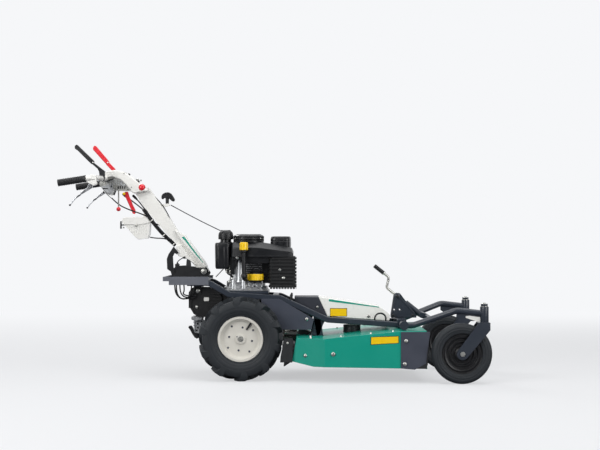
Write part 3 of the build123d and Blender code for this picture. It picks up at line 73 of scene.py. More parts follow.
# Finishes, one for each slot of the record. grain is the size of the fine texture in mm, patch that of the
# slow colour change, depth how deep the grain is in mm, spread how far the colour drifts.
usualFinish = dict(grain=1.2, depth=0.05, patch=40, spread=0.12, metal=0.0, coat=0.0)
finishes = {
    # stoved enamel on tube: soft gloss, faint orange peel
    "frame_enamel": dict(
        name="stovedEnamelSlate", hex="#272E39", rough=0.38, grain=2.2, patch=60, spread=0.14, coat=0.25
    ),
    # the same enamel on flat plate, a little greyer
    "plate_enamel": dict(name="stovedEnamelPlate", hex="#3E424E", rough=0.42, grain=2.5, patch=80, coat=0.2),
    # grey enamel on pressed tray sheet: duller, a little lighter
    "tray_enamel": dict(name="stovedEnamelGrey", hex="#62656D", rough=0.45, grain=2.5, patch=70, coat=0.1),
    # powder coat in teal green: even, glossy, slight peel
    "green_enamel": dict(
        name="powderCoatTeal", hex="#009782", rough=0.36, grain=2.8, patch=140, spread=0.06, coat=0.1
    ),
    # white enamel on the steel column: clean, softly glossy
    "white_enamel": dict(
        name="enamelWhite", hex="#EDECE7", rough=0.3, grain=2.4, depth=0.04, patch=90, spread=0.05, coat=0.3
    ),
    # cream enamel on the pressed wheel discs: warm, softly glossy
    "rim_enamel": dict(
        name="enamelCream", hex="#D5D2C9", rough=0.36, grain=2.4, patch=50, spread=0.07, coat=0.2
    ),
    # injection-moulded ABS, white and fairly glossy
    "white_cover": dict(
        name="mouldedAbsWhite", hex="#EFEEE9", rough=0.28, depth=0.02, patch=90, spread=0.04, coat=0.15
    ),
    # moulded polypropylene with spark-eroded grain: dull, dark blue grey
    "dark_cover": dict(
        name="mouldedPolypropyleneDark", hex="#2C2F38", rough=0.5, grain=1.4, depth=0.08, patch=60
    ),
    # glass-filled nylon engine covers, fine grain and a soft sheen
    "black_shroud": dict(
        name="glassNylonBlack", hex="#101216", rough=0.36, grain=1.1, patch=45, spread=0.18, coat=0.05
    ),
    # heat-resistant black paint on pressed sheet: flat and dusty
    "black_guard": dict(
        name="heatPaintBlack", hex="#101113", rough=0.48, grain=1.6, depth=0.06, patch=50, spread=0.2
    ),
    # small nylon mouldings: dark, fairly dull
    "black_plastic": dict(name="mouldedNylonBlack", hex="#141518", rough=0.42, spread=0.15),
    # moulded caster wheels: dark, with a soft sheen
    "black_wheel": dict(
        name="mouldedWheelBlack", hex="#0E0F12", rough=0.4, grain=1.5, spread=0.15, coat=0.05
    ),
    # black dipped rod: smooth, with a soft line of light
    "black_rod": dict(
        name="dippedRodBlack", hex="#17181B", rough=0.35, grain=2.0, depth=0.04, patch=30, spread=0.15,
        coat=0.2,
    ),
    # smooth moulded levers: narrow bright edges
    "black_lever": dict(name="mouldedLeverBlack", hex="#15161A", rough=0.34, depth=0.03, coat=0.15),
    # yellow nylon mouldings: saturated and glossy
    "yellow_plastic": dict(
        name="mouldedNylonYellow", hex="#F7CB00", rough=0.33, depth=0.03, patch=20, spread=0.07, coat=0.2
    ),
    # polished red knobs: small sharp highlights
    "red_plastic": dict(
        name="mouldedKnobRed", hex="#DE1226", rough=0.22, grain=1.4, depth=0.02, patch=20, spread=0.07,
        coat=0.4,
    ),
    # red moulded levers, a little duller than the knobs
    "red_lever": dict(
        name="mouldedLeverRed", hex="#E22834", rough=0.32, depth=0.03, patch=30, spread=0.07, coat=0.15
    ),
    # die-cast aluminium as cast: dull and slightly grainy
    "cast_alloy": dict(
        name="diecastAluminium", hex="#B9BBBD", rough=0.42, metal=0.9, grain=1.6, depth=0.12, patch=25,
        spread=0.16,
    ),
    # sand-cast iron under black paint: rough and dark
    "cast_housing": dict(
        name="paintedCastIron", hex="#26292E", rough=0.5, grain=2.4, depth=0.25, spread=0.2, coat=0.05
    ),
    # polished alloy levers: bright, with sharp reflections
    "lever_alloy": dict(
        name="polishedLeverAlloy", hex="#BFC1C5", rough=0.24, metal=1.0, grain=1.5, depth=0.03, patch=20,
        spread=0.1,
    ),
    # hardened blade steel, ground: streaks along the cut
    "blade_steel": dict(
        name="groundBladeSteel", hex="#85888D", rough=0.4, metal=0.9, grain=0.9, spread=0.2, stretch=(1, 8, 8)
    ),
    # yellow-passivated zinc plate, almost silver
    "zinc": dict(
        name="zincPlatedSteel", hex="#C3C3BE", rough=0.3, metal=0.95, grain=1.4, depth=0.03, patch=18,
        spread=0.14,
    ),
    # tyre rubber: dull charcoal, fine pores
    "tyre": dict(
        name="vulcanisedTyreRubber", hex="#1D2227", rough=0.64, grain=1.8, depth=0.2, patch=30, spread=0.34
    ),
    # cut rubber sheet: matt, almost no highlight
    "rubber_flap": dict(name="sheetRubberBlack", hex="#1D1F22", rough=0.6, grain=1.5, depth=0.1, spread=0.2),
    # moulded grip rubber: matt, its rings catch a thin edge of light
    "grip_rubber": dict(
        name="gripRubberBlack", hex="#1B1C1F", rough=0.55, grain=1.1, depth=0.08, patch=20, spread=0.18
    ),
    # extruded cable sheath: smooth, a line of light along it
    "cable_sheath": dict(name="cableSheathBlack", hex="#17181B", rough=0.4, depth=0.03, patch=20),
    # braided starter rope: matt, grain drawn along it and coarser than real so that it shows
    "rope": dict(
        name="braidedRopeGrey", hex="#4A4C50", rough=0.8, grain=1.0, depth=0.2, patch=8, spread=0.3,
        stretch=(3, 1, 1),
    ),
}


def makeFinish(spec):
    # fine bump from the grain, slow drift of colour and gloss from the patch
    spec = {**usualFinish, **spec}
    mat = bpy.data.materials.new(spec["name"])
    mat.use_nodes = True
    tree = mat.node_tree
    tree.nodes.clear()
    where = addNode(tree, "ShaderNodeTexCoord").outputs["Object"]
    if "stretch" in spec:
        where = addNode(
            tree, "ShaderNodeMapping", {"Scale": spec["stretch"]}, {"Vector": where}
        ).outputs["Vector"]
    grain, patch = [
        addNode(
            tree, "ShaderNodeTexNoise",
            {"Scale": 1 / (spec[size] * mm), "Detail": detail, "Roughness": rough}, {"Vector": where},
        ).outputs["Fac"]
        for size, detail, rough in (("grain", 2.0, 0.55), ("patch", 3.0, 0.6))
    ]
    base = linear(spec["hex"])[:3]
    dark = [c * (1 - spec["spread"]) for c in base] + [1]
    light = [min(1.0, c * (1 + spec["spread"])) for c in base] + [1]
    tint = addNode(tree, "ShaderNodeMix", {"data_type": "RGBA", 6: dark, 7: light}, {0: patch}).outputs[2]
    low, high = max(0.05, spec["rough"] - 0.07), spec["rough"] + 0.07
    gloss = addNode(
        tree, "ShaderNodeMapRange", {"From Min": 0.3, "From Max": 0.7, "To Min": low, "To Max": high},
        {"Value": patch},
    ).outputs["Result"]
    bump = addNode(
        tree, "ShaderNodeBump", {"Strength": 0.6, "Distance": spec["depth"] * mm}, {"Height": grain}
    ).outputs["Normal"]
    shader = addNode(
        tree, "ShaderNodeBsdfPrincipled",
        {"Metallic": spec["metal"], "Coat Weight": spec["coat"], "Coat Roughness": 0.12},
        {"Base Color": tint, "Roughness": gloss, "Normal": bump},
    ).outputs["BSDF"]
    addNode(tree, "ShaderNodeOutputMaterial", {}, {"Surface": shader})
    return mat


materials = {slotName: makeFinish(spec) for slotName, spec in finishes.items()}
print("finishes made:", len(materials))


def roundEdges(obj, radius, angle):
    # a real edge radius, in mm, on what is sharper than the angle
    bevel = obj.modifiers.new("edge", "BEVEL")
    bevel.width = radius * mm
    bevel.segments = 3
    bevel.limit_method = "ANGLE"
    bevel.angle_limit = math.radians(angle)
    bevel.harden_normals = True


# Carried-over nodes keep their mesh: welded, a small edge radius, and their finish
edgeRadius = {
    "deck_shell": 1.2, "belt_cover": 2.5, "belt_cover_rear": 3.0, "handle_column": 7.0, "console_hood": 6.0,
}
plainRadius = 1.5
for row in record["subparts"]:
    obj = frame["nodes"][row["node"]]
    obj.data.materials.clear()
    obj.data.materials.append(materials[row["material_slot"]])
    weld = obj.modifiers.new("weld", "WELD")
    weld.merge_threshold = 0.02 * mm
    # one face for each flat side, so that the edge radius runs clean
    flat = obj.modifiers.new("flat", "DECIMATE")
    flat.decimate_type = "DISSOLVE"
    flat.angle_limit = math.radians(0.5)
    roundEdges(obj, edgeRadius.get(row["node"], plainRadius), 35)
print("nodes dressed")


def smoothPath(points):
    # places along a NURBS spline that follows the points, in mm
    curve = bpy.data.curves.new("route", "CURVE")
    curve.dimensions = "3D"
    spline = curve.splines.new("NURBS")
    spline.points.add(len(points) - 1)
    for spot, place in zip(spline.points, points):
        spot.co = (*place, 1)
    spline.order_u = 3
    spline.use_endpoint_u = True
    curve.resolution_u = 8
    holder = bpy.data.objects.new("route", curve)
    mesh = bpy.data.meshes.new_from_object(holder)
    path = [v.co.copy() for v in mesh.vertices]
    bpy.data.objects.remove(holder)
    bpy.data.curves.remove(curve)
    bpy.data.meshes.remove(mesh)
    return path


def facing(way):
    # turns local Z to a direction
    return Vector(way).to_track_quat("Z", "Y").to_matrix().to_4x4()


def loft(bm, rings, capped=True, closed=False):
    # skin over rings of equally many places, in mm; closed joins the last ring to the first
    rows = [[bm.verts.new(place) for place in ring] for ring in rings]
    for a, b in zip(rows, rows[1:] + rows[:1] if closed else rows[1:]):
        for k in range(len(a)):
            bm.faces.new((a[k - 1], a[k], b[k], b[k - 1]))
    if capped and not closed:
        bm.faces.new(rows[0][::-1])
        bm.faces.new(rows[-1])


def sidePrism(bm, outline, yFirst, ySecond):
    # outline in the side view, between two places across
    loft(bm, [[(x, y, z) for x, z in outline] for y in sorted((yFirst, ySecond))])


def block(bm, low, high):
    (x0, y0, z0), (x1, y1, z1) = low, high
    sidePrism(bm, [(x0, z0), (x1, z0), (x1, z1), (x0, z1)], y0, y1)


def lathe(bm, profile, at, way=(0, 1, 0), steps=64, flutes=0, fluteDepth=0.0, closed=False):
    # (along, radius) profile turned about a direction; flutes cut into its outside; closed makes a ring
    place = Matrix.Translation(at) @ facing(way)
    rings = []
    for along, radius in profile:
        ring = []
        for k in range(steps):
            turn = 2 * math.pi * k / steps
            cut = fluteDepth if flutes and math.sin(flutes * turn) > 0 else 0
            out = max(0.01, radius - cut)
            ring.append(place @ Vector((out * math.cos(turn), out * math.sin(turn), along)))
        rings.append(ring)
    loft(bm, rings, closed=closed)


def tube(bm, path, radius, sides=12, taper=None):
    # round bar along a path; taper gives its radius at the far end
    path = [Vector(p) for p in path]
    across = None
    rings = []
    for k, spot in enumerate(path):
        way = (path[min(k + 1, len(path) - 1)] - path[max(k - 1, 0)]).normalized()
        if across is None:
            across = way.cross(Vector((0, 1, 0) if abs(way.y) < 0.9 else (1, 0, 0))).normalized()
        else:
            across = (across - way * across.dot(way)).normalized()
        up = way.cross(across)
        size = radius if taper is None else radius + (taper - radius) * k / (len(path) - 1)
        turns = [2 * math.pi * j / sides for j in range(sides)]
        rings.append([spot + size * (across * math.cos(turn) + up * math.sin(turn)) for turn in turns])
    loft(bm, rings)


def bolt(bm, at, way=(0, -1, 0), size=7.0):
    # hexagon head on a washer, sunk a little into what it holds
    lathe(bm, [(-2, size * 1.3), (size * 0.18, size * 1.3), (size * 0.26, size * 1.2)], at, way, 24)
    shares = [(0, 1), (0.72, 1), (0.86, 0.84), (0.9, 0.5)]
    lathe(bm, [(size * along, size * radius) for along, radius in shares], at, way, 6)


def dome(bm, at, way=(0, -1, 0), size=8.0):
    # round-headed screw
    shares = [(0.12, 1), (0.4, 0.84), (0.56, 0.5), (0.6, 0.1)]
    lathe(bm, [(-2, size)] + [(size * along, size * radius) for along, radius in shares], at, way, 24)


def piece(name, bm, slotName, body, edge=0.0, smooth=40, replaced=()):
    # one object from a mesh drawn in mm; body is None for the pieces later given to bend(), and those are
    # left on no body
    bmesh.ops.scale(bm, vec=(mm, mm, mm), verts=bm.verts)
    bmesh.ops.recalc_face_normals(bm, faces=bm.faces)
    mesh = bpy.data.meshes.new(name)
    bm.to_mesh(mesh)
    bm.free()
    mesh.shade_smooth()
    mesh.set_sharp_from_angle(angle=math.radians(smooth))
    mesh.materials.append(materials[slotName])
    obj = bpy.data.objects.new(name, mesh)
    bpy.context.collection.objects.link(obj)
    if edge:
        roundEdges(obj, edge, smooth)
    if body:
        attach(obj, body)
    if replaced:
        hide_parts(*replaced)
    return obj


def bend(obj, slotName, first, second, start, end):
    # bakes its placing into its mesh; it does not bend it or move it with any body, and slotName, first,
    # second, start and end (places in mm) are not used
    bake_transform(obj)


def mirrored(half):
    # a wheel's whole profile from its outer half
    return half + [(-across, radius) for across, radius in (half[-2::-1] if half[-1][0] == 0 else half[::-1])]


# Drive wheels: tyres with raised bars that wrap down the sidewall, dished discs with bolt holes and a valve
driveWheel = dict(
    centre=(-159, 226, 207.5), bars=10, barSweep=11, stagger=18, footSpread=1.25,
    # across and radius of the carcass, from its bead to the middle
    carcass=[
        (38, 112), (42, 113), (43.5, 117), (42.5, 118.5), (44.5, 120), (49, 130), (48.4, 131.5), (50.6, 134),
        (52, 138), (54.5, 150), (54, 151.5), (54.8, 153), (54.6, 158), (54, 172), (48, 184), (36, 188),
        (0, 189.5),
    ],
    # each bar's cuts: outer across and radius, inner across and radius, turn share, half width
    bar=[
        (2, 207.5, 2, 184, 0, 13), (20, 207.4, 20, 184, 0.35, 14), (38, 206.4, 36, 182, 0.7, 16),
        (49, 202.5, 42, 178, 0.92, 18), (54, 192, 46, 172, 1.0, 18), (54.9, 172, 48, 164, 1.08, 13),
        (54.4, 158, 49, 156, 1.12, 8),
    ],
    # the disc's face from the wheel's middle; its bolt holes and the small hole, as radius and turn
    discFace=17.0, holes=[(75, 35), (57, 80)], holeSize=5.5, smallHole=(20.5, 147), smallHoleSize=3.4,
    hubHole=14.5,
    # pressed rolls of the disc, with their steps
    rolls=[
        ([(-1, 25), (6, 25), (7, 23), (7, 14), (-1, 14)], 64),
        ([(-1, 89), (1.6, 87.5), (1.6, 84.5), (-1, 83)], 96),
    ],
    nut=[(3, 10), (12, 10), (13.5, 8.6), (13.6, 5)], stud=[(3, 5), (16, 5), (17, 4)],
    # radius and height of the valve's line
    valve=[(54, 3), (70, 5), (86, 7), (94, 10)], valveTurn=57, valveRadius=4.6,
)


def makeDriveWheel(side, hand):
    spec = driveWheel
    body = f"drive_wheel_{hand}"
    out = (0, side, 0)
    face = side * spec["discFace"]

    def place(across, radius=0, turn=0):
        x, y, z = spec["centre"]
        return x + radius * math.cos(turn), side * y + across, z + radius * math.sin(turn)

    bm = bmesh.new()
    lathe(bm, mirrored(spec["carcass"]), place(0), (0, 1, 0), 96, closed=True)
    for outward in (-1, 1):
        first = -90 - spec["barSweep"] / 2 + (spec["stagger"] if outward > 0 else 0)
        for k in range(spec["bars"]):
            start = math.radians(first + 360 / spec["bars"] * k)
            rings = []
            for topA, topR, footA, footR, share, width in spec["bar"]:
                turn = start + math.radians(spec["barSweep"]) * share
                top, foot = width / topR, width * spec["footSpread"] / footR
                rings.append([
                    place(outward * footA, footR, turn - foot), place(outward * topA, topR, turn - top),
                    place(outward * topA, topR, turn + top), place(outward * footA, footR, turn + foot),
                ])
            loft(bm, rings)
    piece(f"driveTyre.{hand}", bm, "tyre", body, edge=2.5, smooth=32, replaced=[f"drive_tyre_{hand}"])

    # raised rings round the bolt holes and the pressed rolls
    holes = [
        place(face, radius, math.radians(first + 90 * k)) for radius, first in spec["holes"] for k in range(4)
    ]
    size = spec["holeSize"]
    ring = [(-2, size * 1.7), (0.8, size * 1.5), (1.2, size), (-1, size * 0.9)]
    bm = bmesh.new()
    for spot in holes:
        lathe(bm, ring, spot, out, 24, closed=True)
    for roll, steps in spec["rolls"]:
        lathe(bm, roll, place(face), out, steps, closed=True)
    piece(f"rimRings.{hand}", bm, "rim_enamel", body, smooth=50)
    # painted shade: dark plugs in the plate enamel sit in the holes, the recess about the hub and the small
    # hole beside it, standing for the shade inside them
    bm = bmesh.new()
    for spot in holes:
        lathe(bm, [(-1, size), (0.6, size)], spot, out, 20)
    lathe(bm, [(-1, spec["hubHole"]), (4.5, spec["hubHole"])], place(face), out, 40)
    radius, turn = spec["smallHole"]
    size = spec["smallHoleSize"]
    lathe(bm, [(4, size), (7.6, size)], place(face, radius, math.radians(turn)), out, 16)
    piece(f"rimHoleShade.{hand}", bm, "plate_enamel", body, smooth=50)
    bm = bmesh.new()
    lathe(bm, spec["nut"], place(face), out, 6)
    lathe(bm, spec["stud"], place(face), out, 20)
    piece(f"hubNut.{hand}", bm, "zinc", body, smooth=40)
    bm = bmesh.new()
    turn = math.radians(spec["valveTurn"])
    line = [place(face + side * high, radius, turn) for radius, high in spec["valve"]]
    tube(bm, line, spec["valveRadius"], 14)
    piece(f"tyreValve.{hand}", bm, "black_plastic", body, smooth=50)


for side, hand in hands:
    makeDriveWheel(side, hand)
print("drive wheels made")

# Casters: smooth tyres with fine rings, black wheels in concentric steps, bolt heads at the axle
casterWheel = dict(
    centre=(912, 350, 146), boltFace=44, boltSize=7.5,
    tyre=[
        (27, 98), (31.5, 99), (33, 104), (33.6, 110), (32.6, 111), (33.8, 112), (34, 122), (33, 123),
        (33.8, 124), (33, 130), (30, 137), (25, 142), (19, 145), (17.5, 144), (16, 145.6), (8, 146),
        (6.5, 144.4), (5, 146), (0, 146),
    ],
    # across and radius of the wheel's face, from the hub out
    disc=[
        (36.5, 8.2), (36.5, 22), (34, 24), (22, 27), (19, 34), (23, 37), (23, 41), (18, 44), (18, 52),
        (25, 56), (25, 61), (19, 65), (19, 72), (26, 76), (28, 84), (23, 88), (23, 94), (27, 98),
    ],
)


def makeCaster(side, hand):
    spec = casterWheel
    x, y, z = spec["centre"]
    body = f"caster_wheel_{hand}"
    bm = bmesh.new()
    lathe(bm, mirrored(spec["tyre"]), (x, side * y, z), (0, 1, 0), 112, closed=True)
    piece(f"casterTyre.{hand}", bm, "tyre", body, smooth=50, replaced=[f"caster_tyre_{hand}"])
    bm = bmesh.new()
    lathe(bm, mirrored(spec["disc"]), (x, side * y, z), (0, 1, 0), 112, closed=True)
    piece(f"casterDisc.{hand}", bm, "black_wheel", body, edge=0.8, smooth=30, replaced=[f"caster_rim_{hand}"])
    bm = bmesh.new()
    for face in (-1, 1):
        dome(bm, (x, side * y + face * spec["boltFace"], z), (0, face, 0), spec["boltSize"])
    piece(f"casterBolt.{hand}", bm, "zinc", f"caster_{hand}", smooth=50)


for side, hand in hands:
    makeCaster(side, hand)
print("casters made")

# Engine cover: a broad moulding whose shoulders slope in to a flat top, with a lip round its foot
engineCover = dict(
    # x, half width, low edge, shoulder's foot, top, half width of the top
    cuts=[
        (-211, 140, 611, 648, 676, 104), (-204, 150, 611, 654, 682, 112), (-160, 160, 611, 657, 684, 122),
        (-70, 164, 611, 654, 682, 124), (0, 163, 611, 645, 672, 122), (70, 158, 612, 637, 660, 118),
        (92, 152, 613, 634, 652, 112), (99, 144, 615, 626, 634, 104),
    ],
    # the rounded brow's width and drop; the lip's low and high edge and how proud it stands
    brow=(6, 3), lip=(608, 615, 1.5),
)


def makeEngineCover():
    cover, lip = bmesh.new(), bmesh.new()
    wide, drop = engineCover["brow"]
    low, high, proud = engineCover["lip"]
    coverRings, lipRings = [], []
    for x, half, foot, shoulder, top, topHalf in engineCover["cuts"]:
        edge = [(half, foot), (half, shoulder), (topHalf + wide, top - drop), (topHalf, top)]
        coverRings.append([(x, -y, z) for y, z in edge] + [(x, y, z) for y, z in edge[::-1]])
        edge = [(half + proud, low), (half + proud, high)]
        lipRings.append([(x, -y, z) for y, z in edge] + [(x, y, z) for y, z in edge[::-1]])
    loft(cover, coverRings)
    loft(lip, lipRings)
    piece("engineCover", cover, "black_shroud", "chassis", edge=3.5, smooth=28, replaced=["engine_shroud"])
    piece("engineCoverLip", lip, "black_shroud", "chassis", edge=1.0, smooth=28)


def roundedPlan(halfX, halfY, power, steps):
    # superellipse seen from above
    places = []
    for k in range(steps):
        turn = 2 * math.pi * k / steps
        c, s = math.cos(turn), math.sin(turn)
        places.append((
            halfX * math.copysign(abs(c) ** (2 / power), c), halfY * math.copysign(abs(s) ** (2 / power), s)
        ))
    return places


def layers(bm, plan, at, levels, sideShare=1.0):
    # a plan stacked in levels of height and scale; sideShare is how much of the scale works across
    x0, y0 = at
    loft(bm, [[(x0 + x * k, y0 + y * (1 + (k - 1) * sideShare), z) for x, y in plan] for z, k in levels])


# Recoil cover: low round moulding with two rows of slots and ribs on its top
recoilCover = dict(
    at=(-129, 0), half=(77, 137), power=3.0, top=720.5,
    levels=[
        (680, 1.0), (688, 1.0), (690, 0.96), (695, 0.96), (697, 1.0), (702, 0.99), (704, 0.95), (709, 0.94),
        (711, 0.98), (716, 0.95), (720, 0.88), (721, 0.7),
    ],
    ribs=28, rib=[(26, -1.6), (62, -2.4), (62, 2.4), (26, 1.6)], ribProud=2.4,
    strutShare=0.975, strutHalf=3, strut=(686, 713), boltX=(-190, -68), boltY=(-100, 100), boltFoot=700,
)


def makeRecoilCover():
    spec = recoilCover
    bm = bmesh.new()
    plan = roundedPlan(*spec["half"], spec["power"], 64)
    layers(bm, plan, spec["at"], spec["levels"])
    for k in range(spec["ribs"]):
        turn = Matrix.Rotation(2 * math.pi * k / spec["ribs"], 4, "Z")
        place = Matrix.Translation((*spec["at"], spec["top"])) @ turn
        loft(bm, [[place @ Vector((x, y, z)) for x, y in spec["rib"]] for z in (-2, spec["ribProud"])])
    # struts between the slots
    half = spec["strutHalf"]
    for planX, planY in plan[::4]:
        x, y = spec["at"][0] + planX * spec["strutShare"], spec["at"][1] + planY * spec["strutShare"]
        block(bm, (x - half, y - half, spec["strut"][0]), (x + half, y + half, spec["strut"][1]))
    piece("recoilCover", bm, "black_shroud", "chassis", edge=1.2, smooth=30, replaced=["recoil_cover"])
    bm = bmesh.new()
    for x in spec["boltX"]:
        for y in spec["boltY"]:
            bolt(bm, (x, y, spec["boltFoot"]), (0, 0, 1), 5)
    piece("recoilBolts", bm, "zinc", "chassis", smooth=40)


# Fuel tank with moulded side ribs, its neck and a fluted cap with a finger bar
fuelTank = dict(
    at=(-254, 0), half=(42, 138), power=6.0, sideShare=0.4,
    levels=[
        (548, 0.84), (551, 0.9), (558, 0.95), (600, 0.97), (664, 1.0), (672, 0.99), (678, 0.94), (680, 0.8),
    ],
    rib=[(558, 4), (562, 5), (655, 5), (659, 4)], ribX=(-22, 8, 26), ribY=134,
    neck=[(676, 34), (682, 33), (684, 28), (698, 27)], capAt=(-243, -49.5),
    cap=[(696, 34), (698, 38), (716, 38), (727, 36), (735, 31), (740, 24), (743, 12)], flutes=22,
    fluteDepth=1.8, bar=(24, 4, 736, 743.4),
)


def makeFuelTank():
    spec = fuelTank
    bm = bmesh.new()
    layers(bm, roundedPlan(*spec["half"], spec["power"], 72), spec["at"], spec["levels"], spec["sideShare"])
    for x in spec["ribX"]:
        for side in (-1, 1):
            lathe(bm, spec["rib"], (spec["at"][0] + x, side * spec["ribY"], 0), (0, 0, 1), 16)
    x, y = spec["capAt"]
    lathe(bm, spec["neck"], (x, y, 0), (0, 0, 1), 48)
    piece("fuelTank", bm, "black_shroud", "chassis", smooth=35, replaced=["fuel_tank"])
    bm = bmesh.new()
    lathe(bm, spec["cap"], (x, y, 0), (0, 0, 1), spec["flutes"] * 8, spec["flutes"], spec["fluteDepth"])
    long, wide, low, high = spec["bar"]
    block(bm, (x - long, y - wide, low), (x + long, y + wide, high))
    piece("fuelCap", bm, "black_plastic", "chassis", smooth=30)


# Air cleaner: lid with a parting line, ribs on its top and spring clips
airCleaner = dict(
    at=(35, 0), half=(52, 116), power=5.5, sideShare=0.5,
    levels=[
        (650, 0.98), (684, 1.0), (686, 0.975), (688, 0.975), (690, 1.0), (704, 0.97), (710, 0.91),
        (711.5, 0.8),
    ],
    ribs=7, ribSpacing=22, rib=(34, 3, 708, 711.8),
    clipX=(18, 52), clip=[(112, 666), (120, 678), (119, 694), (108, 706)], clipRadius=1.6,
)


def makeAirCleaner():
    spec = airCleaner
    bm = bmesh.new()
    layers(bm, roundedPlan(*spec["half"], spec["power"], 72), spec["at"], spec["levels"], spec["sideShare"])
    long, wide, low, high = spec["rib"]
    for k in range(spec["ribs"]):
        y = (k - spec["ribs"] // 2) * spec["ribSpacing"]
        block(bm, (spec["at"][0] - long, y - wide, low), (spec["at"][0] + long, y + wide, high))
    piece("airCleaner", bm, "black_shroud", "chassis", edge=1.0, smooth=32, replaced=["air_box"])
    bm = bmesh.new()
    for x in spec["clipX"]:
        for side in (-1, 1):
            tube(bm, smoothPath([(x, side * y, z) for y, z in spec["clip"]]), spec["clipRadius"], 8)
    piece("airCleanerClips", bm, "black_rod", "chassis", smooth=50)


# Muffler guard: pressed box with proud ribs all round and teeth along its low edge
mufflerGuard = dict(
    box=((-18, -152, 456), (109, 92, 611)), proud=6.4,
    # height, thickness and corner cut of each rib
    ribs=[
        (462, 9, 16), (480, 8, 10), (497, 8, 10), (514, 8, 10), (531, 8, 10), (549, 8, 10), (567, 9, 10),
        (584, 9, 10), (601, 10, 16),
    ],
    teeth=9, toothHalf=(5.2, 5.0), tooth=(449, 462), stays=(8, 47.5, 119), stay=(458, 598),
    bolts=[(32, 545), (50, 503)],
)


def makeMuffler():
    spec = mufflerGuard
    low, high = spec["box"]
    out = spec["proud"]
    bm = bmesh.new()
    block(bm, low, high)
    for z, tall, cut in spec["ribs"]:
        x0, x1, y0, y1 = low[0] - out, high[0] + out, low[1] - out, high[1] + out
        plan = [
            (x0 + cut, y0), (x1 - cut, y0), (x1, y0 + cut), (x1, y1 - cut),
            (x1 - cut, y1), (x0 + cut, y1), (x0, y1 - cut), (x0, y0 + cut),
        ]
        loft(bm, [[(x, y, z + half) for x, y in plan] for half in (-tall / 2, tall / 2)])
    (halfX, halfY), (foot, top), count = spec["toothHalf"], spec["tooth"], spec["teeth"]
    for k in range(count):
        x = low[0] + (high[0] - low[0]) * (k + 0.5) / count
        for y in (low[1] - 3, high[1] + 1):
            block(bm, (x - halfX, y - 1, foot), (x + halfX, y + 3, top))
    for k in range(count * 2):
        y = low[1] + (high[1] - low[1]) * (k + 0.5) / (count * 2)
        block(bm, (high[0] + 2, y - halfY, foot), (high[0] + 5, y + halfY, top))
    # upright stays behind the near ribs
    for along in spec["stays"]:
        x = low[0] + along
        block(bm, (x - 3, low[1] - 4, spec["stay"][0]), (x + 3, low[1], spec["stay"][1]))
    piece("mufflerGuard", bm, "black_guard", "chassis", edge=1.3, smooth=30, replaced=["muffler"])
    bm = bmesh.new()
    for x, z in spec["bolts"]:
        bolt(bm, (x, low[1] - 2, z), (0, -1, 0), 6)
    piece("mufflerBolts", bm, "zinc", "chassis", smooth=40)


# Crankcase: cast base flange, sump, block with fins, a lower cover, bolts and links
crankcase = dict(
    middle=-141,
    flange=[
        (-252, -92), (-236, -112), (-60, -118), (-34, -100), (-30, 96), (-60, 116), (-230, 116), (-252, 90),
    ],
    # low and high edge and share of the flange's size
    steps=[(438, 446, 1.0), (446, 458, 0.97), (458, 486, 0.86)],
    block=[(-226, 480), (-60, 480), (-52, 520), (-60, 611), (-200, 611), (-214, 530)], blockHalf=84,
    # upright bosses: place, turned outline and its steps
    bosses=[
        ((-170, -92, 0), [(480, 24), (500, 20), (590, 16), (611, 18)], 32),
        ((-200, -96, 0), [(446, 17), (520, 12), (524, 10)], 28),
        ((-150, -104, 0), [(446, 16), (498, 13), (504, 10)], 28),
    ],
    web=[(-226, 452), (-140, 452), (-150, 520), (-168, 560), (-190, 560)], webY=(-104, -96),
    roundCovers=[(-72, 470, 24), (-112, 468, 17)],
    boltRing=[
        (-240, -88), (-198, -108), (-120, -110), (-62, -108), (-40, -60), (-40, 60), (-62, 106), (-150, 110),
        (-240, 84),
    ],
    faceBolts=[(-208, 498), (-222, 482), (-132, 462)], pins=[(-222, 556), (-236, 538), (-221, 534)],
    cover=[(-204, 592), (-160, 592), (-152, 577), (-24, 577), (-20, 618), (-208, 618)], coverHalf=148,
    carburettor=[(-238, 530), (-196, 520), (-190, 606), (-240, 606)], carburettorY=(-118, 100),
    hose=[(-240, -100, 548), (-232, -112, 526), (-214, -112, 518), (-204, -104, 506)],
    cylinder=((-58, -94, 476), (-14, 86, 600)), fins=8, fin=((-140, -106, 504), (-24, 96, 508)),
    finSpacing=10, rod=[(-251, -120, 548), (-287, -140, 509)], links=3,
    link=[(-150, -120, 572), (-144, -126, 556), (-132, -118, 548)], linkSpacing=34,
)


